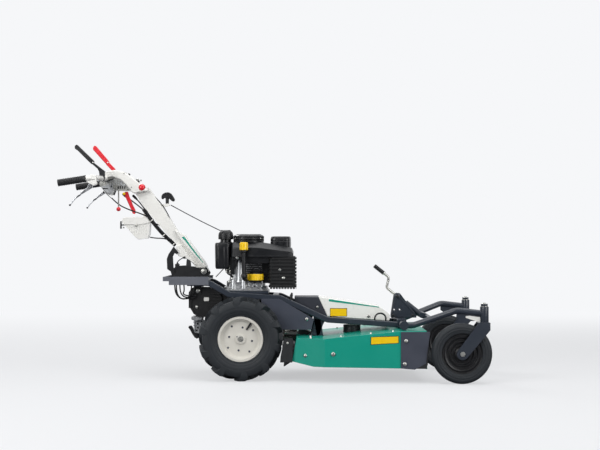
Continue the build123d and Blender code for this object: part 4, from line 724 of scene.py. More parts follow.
def makeCrankcase():
    spec = crankcase
    middle = spec["middle"]
    bm = bmesh.new()
    for low, high, share in spec["steps"]:
        plan = [(middle + (x - middle) * share, y * share) for x, y in spec["flange"]]
        loft(bm, [[(x, y, z) for x, y in plan] for z in (low, high)])
    sidePrism(bm, spec["block"], -spec["blockHalf"], spec["blockHalf"])
    for at, profile, steps in spec["bosses"]:
        lathe(bm, profile, at, (0, 0, 1), steps)
    sidePrism(bm, spec["web"], *spec["webY"])
    for x, z, size in spec["roundCovers"]:
        profile = [(0, size), (16, size), (20, size * 0.8), (20, size * 0.55), (14, size * 0.5)]
        lathe(bm, profile, (x, spec["webY"][1], z), (0, -1, 0), 40)
    piece("crankcaseCasting", bm, "cast_alloy", "chassis", edge=2.0, smooth=32, replaced=["crankcase"])
    bm = bmesh.new()
    for x, y in spec["boltRing"]:
        bolt(bm, (x, y, 446), (0, 0, 1), 6)
    for x, z in spec["faceBolts"]:
        bolt(bm, (x, -106, z), (0, -1, 0), 5)
    bolt(bm, (-179, -150, 606), (0, -1, 0), 7)
    for x, z in spec["pins"]:
        tube(bm, [(x, -118, z - 9), (x + 2, -118, z + 9)], 4, 10)
    piece("crankcaseBolts", bm, "zinc", "chassis", smooth=40)
    # moulded lower cover, carburettor side, cylinder with its fins
    bm = bmesh.new()
    sidePrism(bm, spec["cover"], -spec["coverHalf"], spec["coverHalf"])
    sidePrism(bm, spec["carburettor"], *spec["carburettorY"])
    tube(bm, smoothPath(spec["hose"]), 5, 12)
    block(bm, *spec["cylinder"])
    for k in range(spec["fins"]):
        up = Vector((0, 0, spec["finSpacing"] * k))
        block(bm, *[Vector(corner) + up for corner in spec["fin"]])
    piece("lowerCover", bm, "black_shroud", "chassis", edge=3.0, smooth=30)
    bm = bmesh.new()
    tube(bm, spec["rod"], 2.4, 10)
    for k in range(spec["links"]):
        tube(bm, smoothPath([(x + spec["linkSpacing"] * k, y, z) for x, y, z in spec["link"]]), 1.8, 8)
    piece("governorLinks", bm, "black_rod", "chassis", smooth=50)


# Oil filler: bent tube with two collars and a fluted yellow cap; yellow dipstick disc with a black grip
oilFiller = dict(
    at=(-146, -179), tubeRadius=10,
    collars=[[(630, 11), (634, 15), (646, 15)], [(507, 13), (511, 14), (520, 14), (524, 12)]],
    # the tube's places: across from the cap, and height
    line=[(0, 646), (0, 600), (0, 540), (2, 512), (20, 500), (83, 496)],
    capRadius=21, cap=(643, 682), flutes=14, fluteDepth=1.3,
    discAt=(-90, -116), discRadius=40, discFlutes=36, discFluteDepth=0.9,
    seat=[(480, 30), (492, 33), (493, 20)], grip=[(-24, 530), (24, 530), (20, 546), (-20, 546)], gripHalf=6,
)


def makeOilFiller():
    spec = oilFiller
    x, y = spec["at"]
    bm = bmesh.new()
    tube(bm, smoothPath([(x, y + across, z) for across, z in spec["line"]]), spec["tubeRadius"], 24)
    for collar in spec["collars"]:
        lathe(bm, collar, (x, y, 0), (0, 0, 1), 32)
    piece("oilTube", bm, "black_plastic", "chassis", smooth=40, replaced=["oil_filler"])
    bm = bmesh.new()
    radius, flutes = spec["capRadius"], spec["flutes"]
    low, high = spec["cap"]
    profile = [(low, radius - 2), (low + 2, radius), (high - 6, radius), (high - 1, radius - 3), (high, 4)]
    lathe(bm, profile, (x, y, 0), (0, 0, 1), flutes * 8, flutes, spec["fluteDepth"])
    piece("oilCap", bm, "yellow_plastic", "chassis", smooth=30)
    x, y = spec["discAt"]
    radius, flutes = spec["discRadius"], spec["discFlutes"]
    bm = bmesh.new()
    profile = [(491, radius - 4), (493, radius), (520, radius), (523, radius - 2)]
    lathe(bm, profile, (x, y, 0), (0, 0, 1), flutes * 4, flutes, spec["discFluteDepth"])
    piece("dipstickDisc", bm, "yellow_plastic", "chassis", smooth=30, replaced=["oil_filter"])
    bm = bmesh.new()
    lathe(bm, spec["seat"], (x, y, 0), (0, 0, 1), 48)
    lathe(bm, [(522, radius - 3), (528, radius - 6), (534, radius - 16), (537, 10)], (x, y, 0), (0, 0, 1), 64)
    sidePrism(bm, [(x + along, z) for along, z in spec["grip"]], y - spec["gripHalf"], y + spec["gripHalf"])
    piece("dipstickGrip", bm, "black_plastic", "chassis", edge=1.2, smooth=40)


makeEngineCover()
makeRecoilCover()
makeFuelTank()
makeAirCleaner()
makeMuffler()
makeCrankcase()
makeOilFiller()
print("engine made")


# Blank labels, drawn as a dark border with a panel a little proud of it
def label(name, outline, y, side, panelSlot, body, rim):
    centreX, centreZ = [sum(values) / len(outline) for values in zip(*outline)]
    halfX = max(abs(x - centreX) for x, z in outline)
    halfZ = max(abs(z - centreZ) for x, z in outline)
    shareX, shareZ = 1 - rim / halfX, 1 - rim / halfZ
    inner = [(centreX + (x - centreX) * shareX, centreZ + (z - centreZ) * shareZ) for x, z in outline]
    bm = bmesh.new()
    sidePrism(bm, outline, side * (y - 0.5), side * (y + 0.5))
    piece(f"{name}Border", bm, "black_plastic", body, smooth=30)
    bm = bmesh.new()
    sidePrism(bm, inner, side * y, side * (y + 0.8))
    piece(f"{name}Panel", bm, panelSlot, body, smooth=30)


def ball(bm, at, radius, steps):
    turns = [math.pi * k / 16 for k in range(17)]
    rings = [(-math.cos(turn) * radius, max(0.05, math.sin(turn) * radius)) for turn in turns]
    lathe(bm, rings, at, (0, 0, 1), steps)


# Handlebar: hand levers in two mouldings, brake levers, ribbed grips and white sleeves
handlebar = dict(
    leverY=134, leverHalf=10,
    blackGrip=[
        (-986, 1170), (-980, 1169), (-895, 1087), (-897, 1078), (-908, 1071), (-924, 1086), (-977, 1139),
        (-993, 1150), (-993, 1163),
    ],
    blackFoot=[
        (-902, 1083), (-842, 1037), (-843, 1004), (-846, 988), (-856, 985), (-866, 989), (-872, 1036),
        (-879, 1049), (-908, 1074),
    ],
    redGrip=[
        (-943, 1180), (-937, 1185), (-930, 1183), (-863, 1104), (-860, 1094), (-874, 1087), (-884, 1095),
        (-945, 1163), (-946, 1174),
    ],
    redFoot=[
        (-866, 1101), (-828, 1062), (-842, 1004), (-850, 998), (-862, 1002), (-848, 1055), (-880, 1089),
    ],
    # the levers' screws, all facing right: place and size
    screws=[((-855, -144, 993), 6.5), ((-901, -144, 1080), 3.5), ((-868, 124, 1096), 3.5)],
    brakeBlade=[
        (-884, 975), (-882, 950), (-906, 936), (-944, 913), (-949, 917), (-938, 930), (-912, 950),
        (-900, 975),
    ],
    bladeHalf=5.2, brakePin=(-892, 968),
    brakeTip=[(-944, 915), (-962, 904), (-972, 895), (-984, 880), (-996, 864)], brakeBall=(-995.6, 864.4),
    brakeSleeve=[(-936, 922), (-924, 930), (-946, 916), (-962, 906), (-966, 899), (-950, 909)],
    gripAt=(-1055.3, 973), gripY=255, gripTilt=8.6, gripRings=14, gripSpacing=8.6,
    sleeve=[(-915, 1008), (-885, 1014), (-868, 1010), (-862, 966), (-880, 958), (-910, 974)],
    sleeveSlot=[(-906, 985), (-890, 988), (-872, 990)],
)


def makeHandlebar():
    spec = handlebar
    half = spec["leverHalf"]
    for colour, side in (("black", -1), ("red", 1)):
        y = side * spec["leverY"]
        bm = bmesh.new()
        sidePrism(bm, spec[f"{colour}Grip"], y - half, y + half)
        sidePrism(bm, spec[f"{colour}Foot"], y - half + 1.5, y + half - 1.5)
        node = f"{colour}_lever"
        piece(f"{colour}Lever", bm, node, "handlebar", edge=4.5, smooth=25, replaced=[node])
    bm = bmesh.new()
    for at, size in spec["screws"]:
        dome(bm, at, (0, -1, 0), size)
    piece("leverScrews", bm, "white_cover", "handlebar", smooth=50)

    # grip: a flange at each end and raised rings between them
    profile = [(0, 14), (1, 17.4), (6, 17.6)]
    for k in range(spec["gripRings"]):
        at = 9 + spec["gripSpacing"] * k
        profile += [(at, 16.4), (at + 1.2, 15.6), (at + 2.4, 16.4), (at + 3.4, 17.6), (at + 7.2, 17.6)]
    profile += [(132, 17.6), (133, 17.9), (139, 17.9), (140, 16.5)]
    tilt = math.radians(spec["gripTilt"])
    blades, tips, grips, sleeves, slots = [bmesh.new() for k in range(5)]
    for side in (-1, 1):
        y = side * spec["gripY"]
        half = spec["bladeHalf"]
        sidePrism(blades, spec["brakeBlade"], y - half, y + half)
        tube(blades, smoothPath([(x, y, z) for x, z in spec["brakeTip"]]), 4.2, 12, taper=3.0)
        x, z = spec["brakePin"]
        lathe(blades, [(-6, 9), (6, 9)], (x, y, z), (0, 1, 0), 24)
        x, z = spec["brakeBall"]
        ball(tips, (x, y, z), 5.2, 16)
        sidePrism(tips, spec["brakeSleeve"], y - half - 0.4, y + half + 0.4)
        x, z = spec["gripAt"]
        lathe(grips, profile, (x, y, z), (math.cos(tilt), 0, math.sin(tilt)), 40)
        sidePrism(sleeves, spec["sleeve"], y - side * 4 - 11, y - side * 4 + 11)
        # painted shade: a thin dark rod along each sleeve stands for the shadow in its slot
        tube(slots, [(x, y + side * 7.2, z) for x, z in spec["sleeveSlot"]], 1.2, 8)
    piece("brakeBlades", blades, "lever_alloy", "handlebar", edge=1.6, smooth=30, replaced=["brake_levers"])
    piece("brakeTips", tips, "black_plastic", "handlebar", edge=1.0, smooth=40)
    piece("ribbedGrips", grips, "grip_rubber", "handlebar", smooth=45, replaced=["grips"])
    piece("leverSleeves", sleeves, "white_enamel", "handlebar", edge=5.0, smooth=30)
    piece("sleeveSlotShade", slots, "black_rod", "handlebar", smooth=50)


# Console: grey mechanism plates below the hood with slots, bosses and screws; the coloured knobs
console = dict(
    works=54.0,
    lower=[(-872, 966), (-816, 976), (-812, 944), (-822, 922), (-838, 928), (-860, 944)],
    eye=(-763, 979), eyeProfile=[(-2, 13), (3, 13), (4, 11), (3, 8), (-1, 7.5)],
    # comb of ribs on the plate: places along it and their tops
    comb=[(-846, 992), (-836.5, 992)] + [(-846 + 9.5 * k, 1000) for k in range(2, 9)], combRib=(3, 30, 1.6),
    slot=[(-866, 950), (-840, 950), (-840, 956), (-866, 956)],
    pins=[((-821, 965), [(-1, 4.5), (4, 4.5), (4.6, 3)]), ((-862, 934), [(-1, 4), (3.6, 4), (4.4, 2.6)])],
    hose=[(-862, 2, 992), (-846, 3, 990), (-830, 2, 997), (-812, 1, 1001)],
    shortSlots=4, shortSlot=((-790, 952), (-785, 966)), shortSlotSpacing=11,
    hoodScrews=[(-757, 1030), (-687, 1000), (-720, 960)], hoodFace=62, plateBolt=(-856, 56, 992),
    cableEnd=[(-823, -46, 905), (-838, -48, 918), (-848, -48, 928)],
    sockets=[(-742, 18, 1029), (-757, -6, 1032), (-700, 20, 1001), (-690, -12, 992)],
    knob=(-668, -52, 958.5), knobRadius=18.8, knobFoot=(-668, -36, 958.5),
    smallKnob=(-786.6, -48, 850),
    smallKnobProfile=[
        (-11.4, 2), (-10.5, 6), (-7, 10), (-2, 11.3), (3, 11), (7, 8.5), (9.5, 4.5), (10.5, 3.6),
    ],
    shiftLever=[
        (-757, 938), (-740, 938), (-735, 918), (-716, 872), (-703, 846), (-701, 832), (-707, 824),
        (-716, 826), (-726, 850), (-748, 898), (-756, 915),
    ],
    shiftY=(-40, -24), primer=(-762, -47, 931), primerWay=(0.35, -0.2, -0.5),
)


def makeConsole():
    spec = console
    y = spec["works"]
    for side, hand in hands:
        out = (0, side, 0)
        bm = bmesh.new()
        sidePrism(bm, spec["lower"], side * (y - 1), side * (y + 3))
        x, z = spec["eye"]
        lathe(bm, spec["eyeProfile"], (x, side * y, z), out, 32)
        wide, tall, proud = spec["combRib"]
        for x, top in spec["comb"]:
            block(bm, (x, side * (y - 1), top - tall), (x + wide, side * (y + proud), top))
        piece(f"consolePlate.{hand}", bm, "cast_alloy", "handlebar", edge=0.6, smooth=30)
        # painted shade: the long slot and the short slots are dark black-plastic inlays that stand for the
        # shade inside them; the pins and the hose are real parts
        bm = bmesh.new()
        sidePrism(bm, spec["slot"], side * y, side * (y + 3.6))
        for (x, z), profile in spec["pins"]:
            lathe(bm, profile, (x, side * y, z), out, 20)
        tube(bm, smoothPath([(x, side * (y + proud), z) for x, proud, z in spec["hose"]]), 3.4, 10)
        (x0, low), (x1, high) = spec["shortSlot"]
        for k in range(spec["shortSlots"]):
            shift = spec["shortSlotSpacing"] * k
            block(bm, (x0 + shift, side * y, low), (x1 + shift, side * (y + 1), high))
        piece(f"consoleSlotShadeAndPins.{hand}", bm, "black_plastic", "handlebar", edge=0.5, smooth=40)
    bm = bmesh.new()
    for x, z in spec["hoodScrews"]:
        for side in (-1, 1):
            dome(bm, (x, side * spec["hoodFace"], z), (0, side, 0), 4.2)
    for side in (-1, 1):
        x, y, z = spec["plateBolt"]
        bolt(bm, (x, side * y, z), (0, side, 0), 6)
    tube(bm, spec["cableEnd"], 2.0, 10)
    piece("consoleScrews", bm, "zinc", "handlebar", smooth=50)
    # small black sockets along the hood's top
    bm = bmesh.new()
    for at in spec["sockets"]:
        lathe(bm, [(-4, 6), (3, 6), (4.5, 4)], at, (0.4, 0, 1), 20)
    piece("hoodSockets", bm, "black_plastic", "handlebar", smooth=45)

    # knobs, shift lever and the yellow primer cap
    bm = bmesh.new()
    ball(bm, spec["knob"], spec["knobRadius"], 48)
    lathe(bm, [(0, 7), (16, 8.5), (20, 10)], spec["knobFoot"], (0, -1, 0), 32)
    lathe(bm, spec["smallKnobProfile"], spec["smallKnob"], (0, 0, 1), 32)
    piece("redKnobs", bm, "red_plastic", "handlebar", smooth=50, replaced=["red_controls"])
    bm = bmesh.new()
    sidePrism(bm, spec["shiftLever"], *spec["shiftY"])
    piece("shiftLever", bm, "red_lever", "handlebar", edge=4.0, smooth=30)
    bm = bmesh.new()
    lathe(bm, [(0, 6.5), (9, 6.5), (11, 5)], spec["primer"], spec["primerWay"], 24)
    piece("primerCap", bm, "yellow_plastic", "handlebar", smooth=45)


# Storage pod: ribbed tub with an overhanging lid, on its tab under the column; the knobs beside it
storagePod = dict(
    half=50.0, inset=5, taperFrom=740, taper=0.12,
    tub=[(-763, 776), (-630, 782), (-633, 724), (-641, 702), (-688, 696), (-712, 716), (-738, 748)],
    lid=[
        (-771, 786), (-768, 800), (-756, 808), (-655, 811), (-638, 797), (-629, 783), (-646, 776),
        (-700, 770), (-764, 774),
    ],
    ribs=9, firstRib=-742, ribSpacing=12, ribHalf=1.6, ribTop=766, ribProud=1.4, ribLean=0.0575,
    tab=[(-673, 800), (-655, 806), (-628, 872), (-646, 872)], tabHalf=10,
    bolt=(-696, 766), pins=[(-760, 770), (-763, 756)],
    tee=[
        (-575, 915), (-569, 928), (-556, 935), (-538, 937), (-524, 930), (-513, 914), (-505, 899),
        (-509, 889), (-520, 890), (-530, 900), (-537, 905), (-553, 905), (-560, 908), (-565, 900),
        (-573, 902),
    ],
    teeHalf=11.5, teeNeck=[(874, 7.5), (882, 8.5), (908, 9)], teeNeckX=-544.8,
    knob=[(750, 2.5), (752, 4.3), (787, 4.3), (789, 2.5)], knobRod=[(-781, 0, 769.6), (-748, 0, 769.6)],
)


def makePod():
    spec = storagePod
    half, wall = spec["half"], spec["half"] - spec["inset"]
    bm = bmesh.new()
    # tub: narrower at its foot
    tub = [(x, wall - max(0, (spec["taperFrom"] - z) * spec["taper"]), z) for x, z in spec["tub"]]
    loft(bm, [[(x, side * y, z) for x, y, z in tub] for side in (-1, 1)])
    sidePrism(bm, spec["lid"], -half, half)
    wide = spec["ribHalf"]
    for k in range(spec["ribs"]):
        x = spec["firstRib"] + spec["ribSpacing"] * k
        foot = 722 if x > -712 else 722 + (-712 - x) * 1.25
        for side in (-1, 1):
            rings = []
            back = side * (wall - 4)
            for z in (foot, spec["ribTop"]):
                front = side * (wall + spec["ribProud"] - (spec["ribTop"] - z) * spec["ribLean"])
                rings.append([
                    (x - wide, back, z), (x + wide, back, z), (x + wide, front, z), (x - wide, front, z),
                ])
            loft(bm, rings)
    sidePrism(bm, spec["tab"], -spec["tabHalf"], spec["tabHalf"])
    piece("podTub", bm, "white_cover", "handlebar", edge=3.5, smooth=28, replaced=["storage_pod"])
    bm = bmesh.new()
    x, z = spec["bolt"]
    for side in (-1, 1):
        dome(bm, (x, side * (half - 1), z), (0, side, 0), 6.5)
    for x, z in spec["pins"]:
        lathe(bm, [(0, 3.4), (9, 3.4)], (x, 0, z), (-1, 0, 0.1), 16)
    piece("podBolt", bm, "zinc", "handlebar", smooth=50)
    # recoil handle: a drooping T, and the pod's bar-shaped knob
    bm = bmesh.new()
    sidePrism(bm, spec["tee"], -spec["teeHalf"], spec["teeHalf"])
    lathe(bm, spec["teeNeck"], (spec["teeNeckX"], 0, 0), (0, 0, 1), 28)
    piece("recoilHandle", bm, "black_plastic", "handlebar", edge=4.5, smooth=28, replaced=["pull_handles"])
    bm = bmesh.new()
    lathe(bm, spec["knob"], (spec["knobRod"][0][0], 0, 0), (0, 0, 1), 20)
    tube(bm, spec["knobRod"], 3.2, 12)
    piece("podKnob", bm, "black_rod", "handlebar", smooth=50)


# Control cables: slack runs to a tied bundle under the column, and the recoil rope
cables = dict(
    # route and radius of each run
    runs=[
        ([
            (-822, -46, 906), (-790, -46, 873), (-736, -44, 847), (-684, -38, 830), (-640, -26, 812),
            (-612, -14, 785),
        ], 3.2),
        ([(-770, -20, 929), (-744, -18, 908), (-704, -12, 878), (-664, -10, 846), (-640, -8, 822)], 3.2),
        ([(-724, 12, 922), (-700, 10, 900), (-676, 8, 872), (-652, 2, 838)], 3.2),
        ([(-601, -24, 776), (-586, -22, 771), (-570, -20, 762)], 2.4),
        ([(-630, -20, 707), (-602, -26, 702), (-560, -24, 702), (-516, -16, 690)], 3.0),
        ([(-629, -16, 932), (-598, -20, 906), (-570, -22, 874), (-548, -20, 842), (-528, -18, 800)], 2.4),
    ],
    bundle=[(-664, -12, 850), (-646, -13, 826), (-604, -14, 768), (-556, -14, 714), (-500, -14, 666)],
    strands=[(-5.2, 3.4), (5.2, 3.4), (0, -5.4)], strandRadius=5.0, strandWay=(0.75, 0.65),
    adjusters=[(-722, 12, 921), (-768, -20, 928)], adjuster=[(0, 6.5), (20, 6.5), (22, 5), (30, 4.6)],
    adjusterWay=(0.72, 0, -0.69),
    ties=[(-622, 792), (-560, 718), (-508, 673)], tie=[(-2.2, 11.6), (-1.6, 12.2), (1.6, 12.2), (2.2, 11.6)],
    tieWay=(0.66, 0, -0.75), tieY=-14,
    # the rope's guide on the column, its end on the engine, its sag and radius
    rope=((-527, 0, 871.5), (-203, 40.9, 707.4)), ropeSag=4.5, ropeRadius=2.5, ropeSteps=24,
)


def makeCables():
    spec = cables
    bm = bmesh.new()
    for route, radius in spec["runs"]:
        tube(bm, smoothPath(route), radius, 10)
    alongX, alongZ = spec["strandWay"]
    for across, up in spec["strands"]:
        route = [(x + up * alongX, y + across, z + up * alongZ) for x, y, z in spec["bundle"]]
        tube(bm, smoothPath(route), spec["strandRadius"], 12)
    for at in spec["adjusters"]:
        lathe(bm, spec["adjuster"], at, spec["adjusterWay"], 20)
    piece("controlCables", bm, "cable_sheath", "handlebar", smooth=60, replaced=["console_cables"])
    bm = bmesh.new()
    for x, z in spec["ties"]:
        lathe(bm, spec["tie"], (x, spec["tieY"], z), spec["tieWay"], 28)
    piece("cableTies", bm, "white_cover", "handlebar", smooth=40)
    # the rope sags between its guide and its end; bend() only bakes its placing
    start, end = [Vector(place) for place in spec["rope"]]
    route = []
    for k in range(spec["ropeSteps"] + 1):
        share = k / spec["ropeSteps"]
        spot = start.lerp(end, share)
        route.append((spot.x, spot.y, spot.z - spec["ropeSag"] * math.sin(math.pi * share)))
    bm = bmesh.new()
    tube(bm, route, spec["ropeRadius"], 10)
    rope = piece("recoilRope", bm, "rope", None, smooth=60, replaced=["recoil_rope"])
    bend(rope, "rope", "handlebar", "chassis", start, end)


makeHandlebar()
makeConsole()
makePod()
makeCables()
print("handlebar and console made")

# Deck and frame trim: bolts, studs, blank labels, stripes and the rear flaps
deckTrim = dict(
    # round screws on each side: place, way of the head in the side's own sense, size
    screws=[
        ((158, 311, 132), (-0.3, 1, 0), 9), ((293, 340, 141), (0, 1, 0), 11),
        ((645, 345, 205), (0, 1, 0), 10), ((638.5, 345, 94), (0, 1, 0), 10), ((166, 164, 299), (0, 1, 0), 9),
        ((220, 100, 356), (0, 1, 0), 7), ((72, 306, 192), (0, 1, 0), 6),
    ],
    bolts=[((477, 100, 311), 6.5), ((640, 159, 270), 6), ((640, 159, 284), 6)],
    studs=[(184, 229), (331, 229), (477, 244), (585, 254)], studY=300,
    stud=[(-30, 5.5), (-2, 5.5), (0, 4)], studNut=[(-26, 9), (-18, 9), (-17, 7.5)],
    flap=[(56, 214), (98, 214), (96, 98), (36, 98), (38, 128)], flapY=(297, 306),
    deckLabel=[(474, 186), (611, 194), (611, 230), (474, 225)], deckLabelY=340, deckLabelRim=3.0,
    coverLabel=[(283, 309), (369, 309), (369, 351), (283, 351)], coverLabelY=100, coverLabelRim=2.5,
    # flat trim on each side: outline, inner and outer face, finish and body
    trim=dict(
        coverStripe=(
            [(278, 385), (530, 354), (530, 358), (278, 396.5)], (99.5, 100.7), "green_enamel", "chassis",
        ),
        columnStripe=(
            [
                (-466, 706), (-455, 711), (-443, 696), (-424, 668), (-357, 579), (-359, 578), (-390, 613),
                (-430, 664), (-449, 690),
            ],
            (45.5, 46.8), "green_enamel", "handlebar",
        ),
        gussetLabel=(
            [(931, 318), (986, 300), (1004, 300), (1004, 321), (950, 328), (931, 326)],
            (352.6, 354.2), "white_cover", "front_arm",
        ),
    ),
    knob=(88, 132, 404), knobProfile=[(-6, 8), (5, 8), (8, 5), (14, 5), (15, 3.5)], knobWay=(0.2, 0, 1),
    pin=[(150, 146, 364), (178, 146, 349)],
)

# Ribbed guard before the gearbox, the rear housing's bent guard bar, its bolts and blank label
rearGuard = dict(
    shield=[(-320, 380), (-200, 380), (-196, 420), (-232, 436), (-300, 440)], shieldHalf=66,
    ribs=range(330, 421, 15), rib=((-330, -81, 0), (-262, 81, 5)), cap=((-403, -86, 421), (-365, 86, 460)),
    bar=[
        (-428, 350), (-420, 350), (-404, 322), (-380, 305), (-376, 312), (-398, 328), (-412, 352),
        (-412, 430), (-428, 428),
    ],
    barHalf=83, screw=((-387, 78, 355), 9), bolts=[((-382, 86, 438), 8), ((-353, 56, 534), 9)],
    washer=[(-1, 14), (2.5, 14), (3.2, 12)],
    label=[(-351, 386), (-326, 386), (-326, 405), (-351, 405)], labelY=(-84, -81),
)


def makeDeckTrim():
    spec = deckTrim
    bolts, flaps, knobs = [bmesh.new() for k in range(3)]
    for side in (-1, 1):
        for (x, y, z), way, size in spec["screws"]:
            dome(bolts, (x, side * y, z), (way[0], side * way[1], way[2]), size)
        for (x, y, z), size in spec["bolts"]:
            bolt(bolts, (x, side * y, z), (0, side, 0), size)
        for x, z in spec["studs"]:
            lathe(bolts, spec["stud"], (x, side * spec["studY"], z), (0, 0, 1), 16)
            lathe(bolts, spec["studNut"], (x, side * spec["studY"], z), (0, 0, 1), 6)
        sidePrism(flaps, spec["flap"], *[side * y for y in spec["flapY"]])
        x, y, z = spec["knob"]
        lathe(knobs, spec["knobProfile"], (x, side * y, z), spec["knobWay"], 20)
        tube(knobs, [(x, side * y, z) for x, y, z in spec["pin"]], 3, 10)
    piece("deckBolts", bolts, "zinc", "chassis", smooth=45)
    piece("rearFlaps", flaps, "rubber_flap", "chassis", edge=1.5, smooth=30)
    for side, hand in hands:
        for name in ("deckLabel", "coverLabel"):
            outline, y, rim = spec[name], spec[f"{name}Y"], spec[f"{name}Rim"]
            label(f"{name}.{hand}", outline, y, side, "yellow_plastic", "chassis", rim)
        for name, (outline, faces, slotName, body) in spec["trim"].items():
            bm = bmesh.new()
            sidePrism(bm, outline, *[side * y for y in faces])
            piece(f"{name}.{hand}", bm, slotName, body, smooth=30)
    piece("railKnobs", knobs, "black_plastic", "chassis", edge=0.6, smooth=40)


def makeRearGuard():
    spec = rearGuard
    bm = bmesh.new()
    sidePrism(bm, spec["shield"], -spec["shieldHalf"], spec["shieldHalf"])
    for z in spec["ribs"]:
        block(bm, *[Vector(corner) + Vector((0, 0, z)) for corner in spec["rib"]])
    block(bm, *spec["cap"])
    sidePrism(bm, spec["bar"], -spec["barHalf"], spec["barHalf"])
    piece("housingRibs", bm, "black_guard", "chassis", edge=2.0, smooth=30)
    bm = bmesh.new()
    for side in (-1, 1):
        (x, y, z), size = spec["screw"]
        dome(bm, (x, side * y, z), (0, side, 0), size)
        for (x, y, z), size in spec["bolts"]:
            bolt(bm, (x, side * y, z), (0, side, 0), size)
        lathe(bm, spec["washer"], (x, side * y, z), (0, side, 0), 32)
    piece("rearBolts", bm, "zinc", "chassis", smooth=40)
    bm = bmesh.new()
    sidePrism(bm, spec["label"], *spec["labelY"])
    piece("housingLabel", bm, "white_cover", "chassis", smooth=30)


# Tray: folded sheet with a bead along its rim and corner bolts
tray = dict(
    rear=-550, front=-322, half=163.3, low=469, lip=488, floor=492, rim=510, sheet=4, lipLength=30,
    beadRadius=2.4, beadDrop=2.6, boltX=(-525, -345), boltY=(-130, 130),
)


def makeTray():
    rear, front, half, sheet = tray["rear"], tray["front"], tray["half"], tray["sheet"]
    low, lip, floor, rim = tray["low"], tray["lip"], tray["floor"], tray["rim"]
    fold = rear + tray["lipLength"]
    bm = bmesh.new()
    for hand in (-1, 1):
        side = [(rear, lip), (fold, lip), (fold, low), (front, low), (front, rim), (rear, rim)]
        sidePrism(bm, side, hand * half, hand * (half - sheet))
    block(bm, (rear + 0.5, -half + sheet, lip), (rear + sheet, half - sheet, rim - 0.5))
    block(bm, (rear + sheet, -half + sheet, floor), (front, half - sheet, floor + sheet))
    block(bm, (fold, -half + sheet, low), (fold + sheet, half - sheet, floor))
    piece("traySheet", bm, "tray_enamel", "chassis", edge=1.0, smooth=30, replaced=["tray"])
    bm = bmesh.new()
    inset = half - sheet + 0.5
    line = [(front + 2, inset), (rear + 9, inset), (rear + 5, inset - 4)]
    line = [(x, -y) for x, y in line] + line[::-1]
    tube(bm, [(x, y, rim - tray["beadDrop"]) for x, y in line], tray["beadRadius"], 12)
    piece("trayBead", bm, "tray_enamel", "chassis", smooth=50)
    bm = bmesh.new()
    for x in tray["boltX"]:
        for y in tray["boltY"]:
            bolt(bm, (x, y, floor + sheet), (0, 0, 1), 5)
    piece("trayBolts", bm, "zinc", "chassis", smooth=40)


# Rear hitch: ribbed alloy casting with its pin bore, and a black hook bar below
rearHitch = dict(
    half=29, inset=4,
    casting=[(-409, 305), (-362, 305), (-358, 262), (-364, 228), (-380, 218), (-402, 222), (-406, 260)],
    head=[(-417, 305), (-361, 305), (-361, 292), (-372, 288), (-412, 288), (-417, 293)], headHalf=58,
    ribs=(238, 256, 274), ribX=(-409, -361), ribTall=5, webs=(-402, -370), webHalf=3, webZ=(226, 292),
    bosses=(-42, 42), boss=[(282, 12), (286, 13), (300, 13)], pinX=-389, pin=[(196, 7), (198, 8), (300, 8)],
    hook=[
        (-437, 248), (-432, 256), (-420, 257), (-414, 250), (-398, 222), (-388, 208), (-384, 194),
        (-392, 190), (-404, 196), (-416, 214), (-428, 236),
    ],
    hookHalf=7, holes=[(-386, 268), (-386, 248), (-392, 234)], hole=[(-1, 5.5), (1, 5.5), (1.2, 4)],
)


def makeRearHitch():
    spec = rearHitch
    half, wall = spec["half"], spec["half"] - spec["inset"]
    bm = bmesh.new()
    sidePrism(bm, spec["casting"], -wall, wall)
    sidePrism(bm, spec["head"], -spec["headHalf"], spec["headHalf"])
    x0, x1 = spec["ribX"]
    for z in spec["ribs"]:
        block(bm, (x0, -half, z), (x1, half, z + spec["ribTall"]))
    low, high = spec["webZ"]
    for x in spec["webs"]:
        block(bm, (x - spec["webHalf"], -half, low), (x + spec["webHalf"], half, high))
    for y in spec["bosses"]:
        lathe(bm, spec["boss"], (spec["pinX"], y, 0), (0, 0, 1), 28)
    piece("hitchCasting", bm, "cast_alloy", "chassis", edge=2.0, smooth=30, replaced=["rear_hitch"])
    bm = bmesh.new()
    sidePrism(bm, spec["hook"], -spec["hookHalf"], spec["hookHalf"])
    # painted shade: dark discs in the black rod finish on the casting's faces stand for the shade inside its
    # holes
    for x, z in spec["holes"]:
        for side in (-1, 1):
            lathe(bm, spec["hole"], (x, side * wall, z), (0, side, 0), 20)
    lathe(bm, spec["pin"], (spec["pinX"], 0, 0), (0, 0, 1), 24)
    piece("hitchHook", bm, "black_rod", "chassis", edge=2.5, smooth=30)


# Tail: slack cable loops under the tray, the column's grommet and the bracket's post
tail = dict(
    loops=[
        [
            (-494, -118, 484), (-496, -118, 452), (-484, -116, 412), (-452, -112, 394), (-424, -108, 406),
            (-411, -106, 446), (-411, -106, 484),
        ],
        [
            (-470, -100, 484), (-472, -100, 448), (-460, -99, 412), (-430, -97, 402), (-406, -96, 418),
            (-397, -96, 456), (-397, -96, 484),
        ],
        [
            (-486, -108, 484), (-490, -109, 440), (-470, -106, 398), (-436, -104, 398), (-408, -98, 402),
            (-392, -92, 410),
        ],
        [
            (-452, -104, 484), (-446, -104, 440), (-456, -104, 424), (-440, -102, 414), (-404, -98, 414),
            (-390, -92, 416),
        ],
    ],
    loopRadius=3.4, grommetAt=(-454, -47, 604), grommet=[(-1, 6.5), (2.5, 6.5), (4, 5), (4.4, 3)],
    post=((-500, -50, 552), (-478, -30, 572)), spoutAt=(-489, -40, 566), spout=[(0, 6), (10, 6), (12, 4)],
)


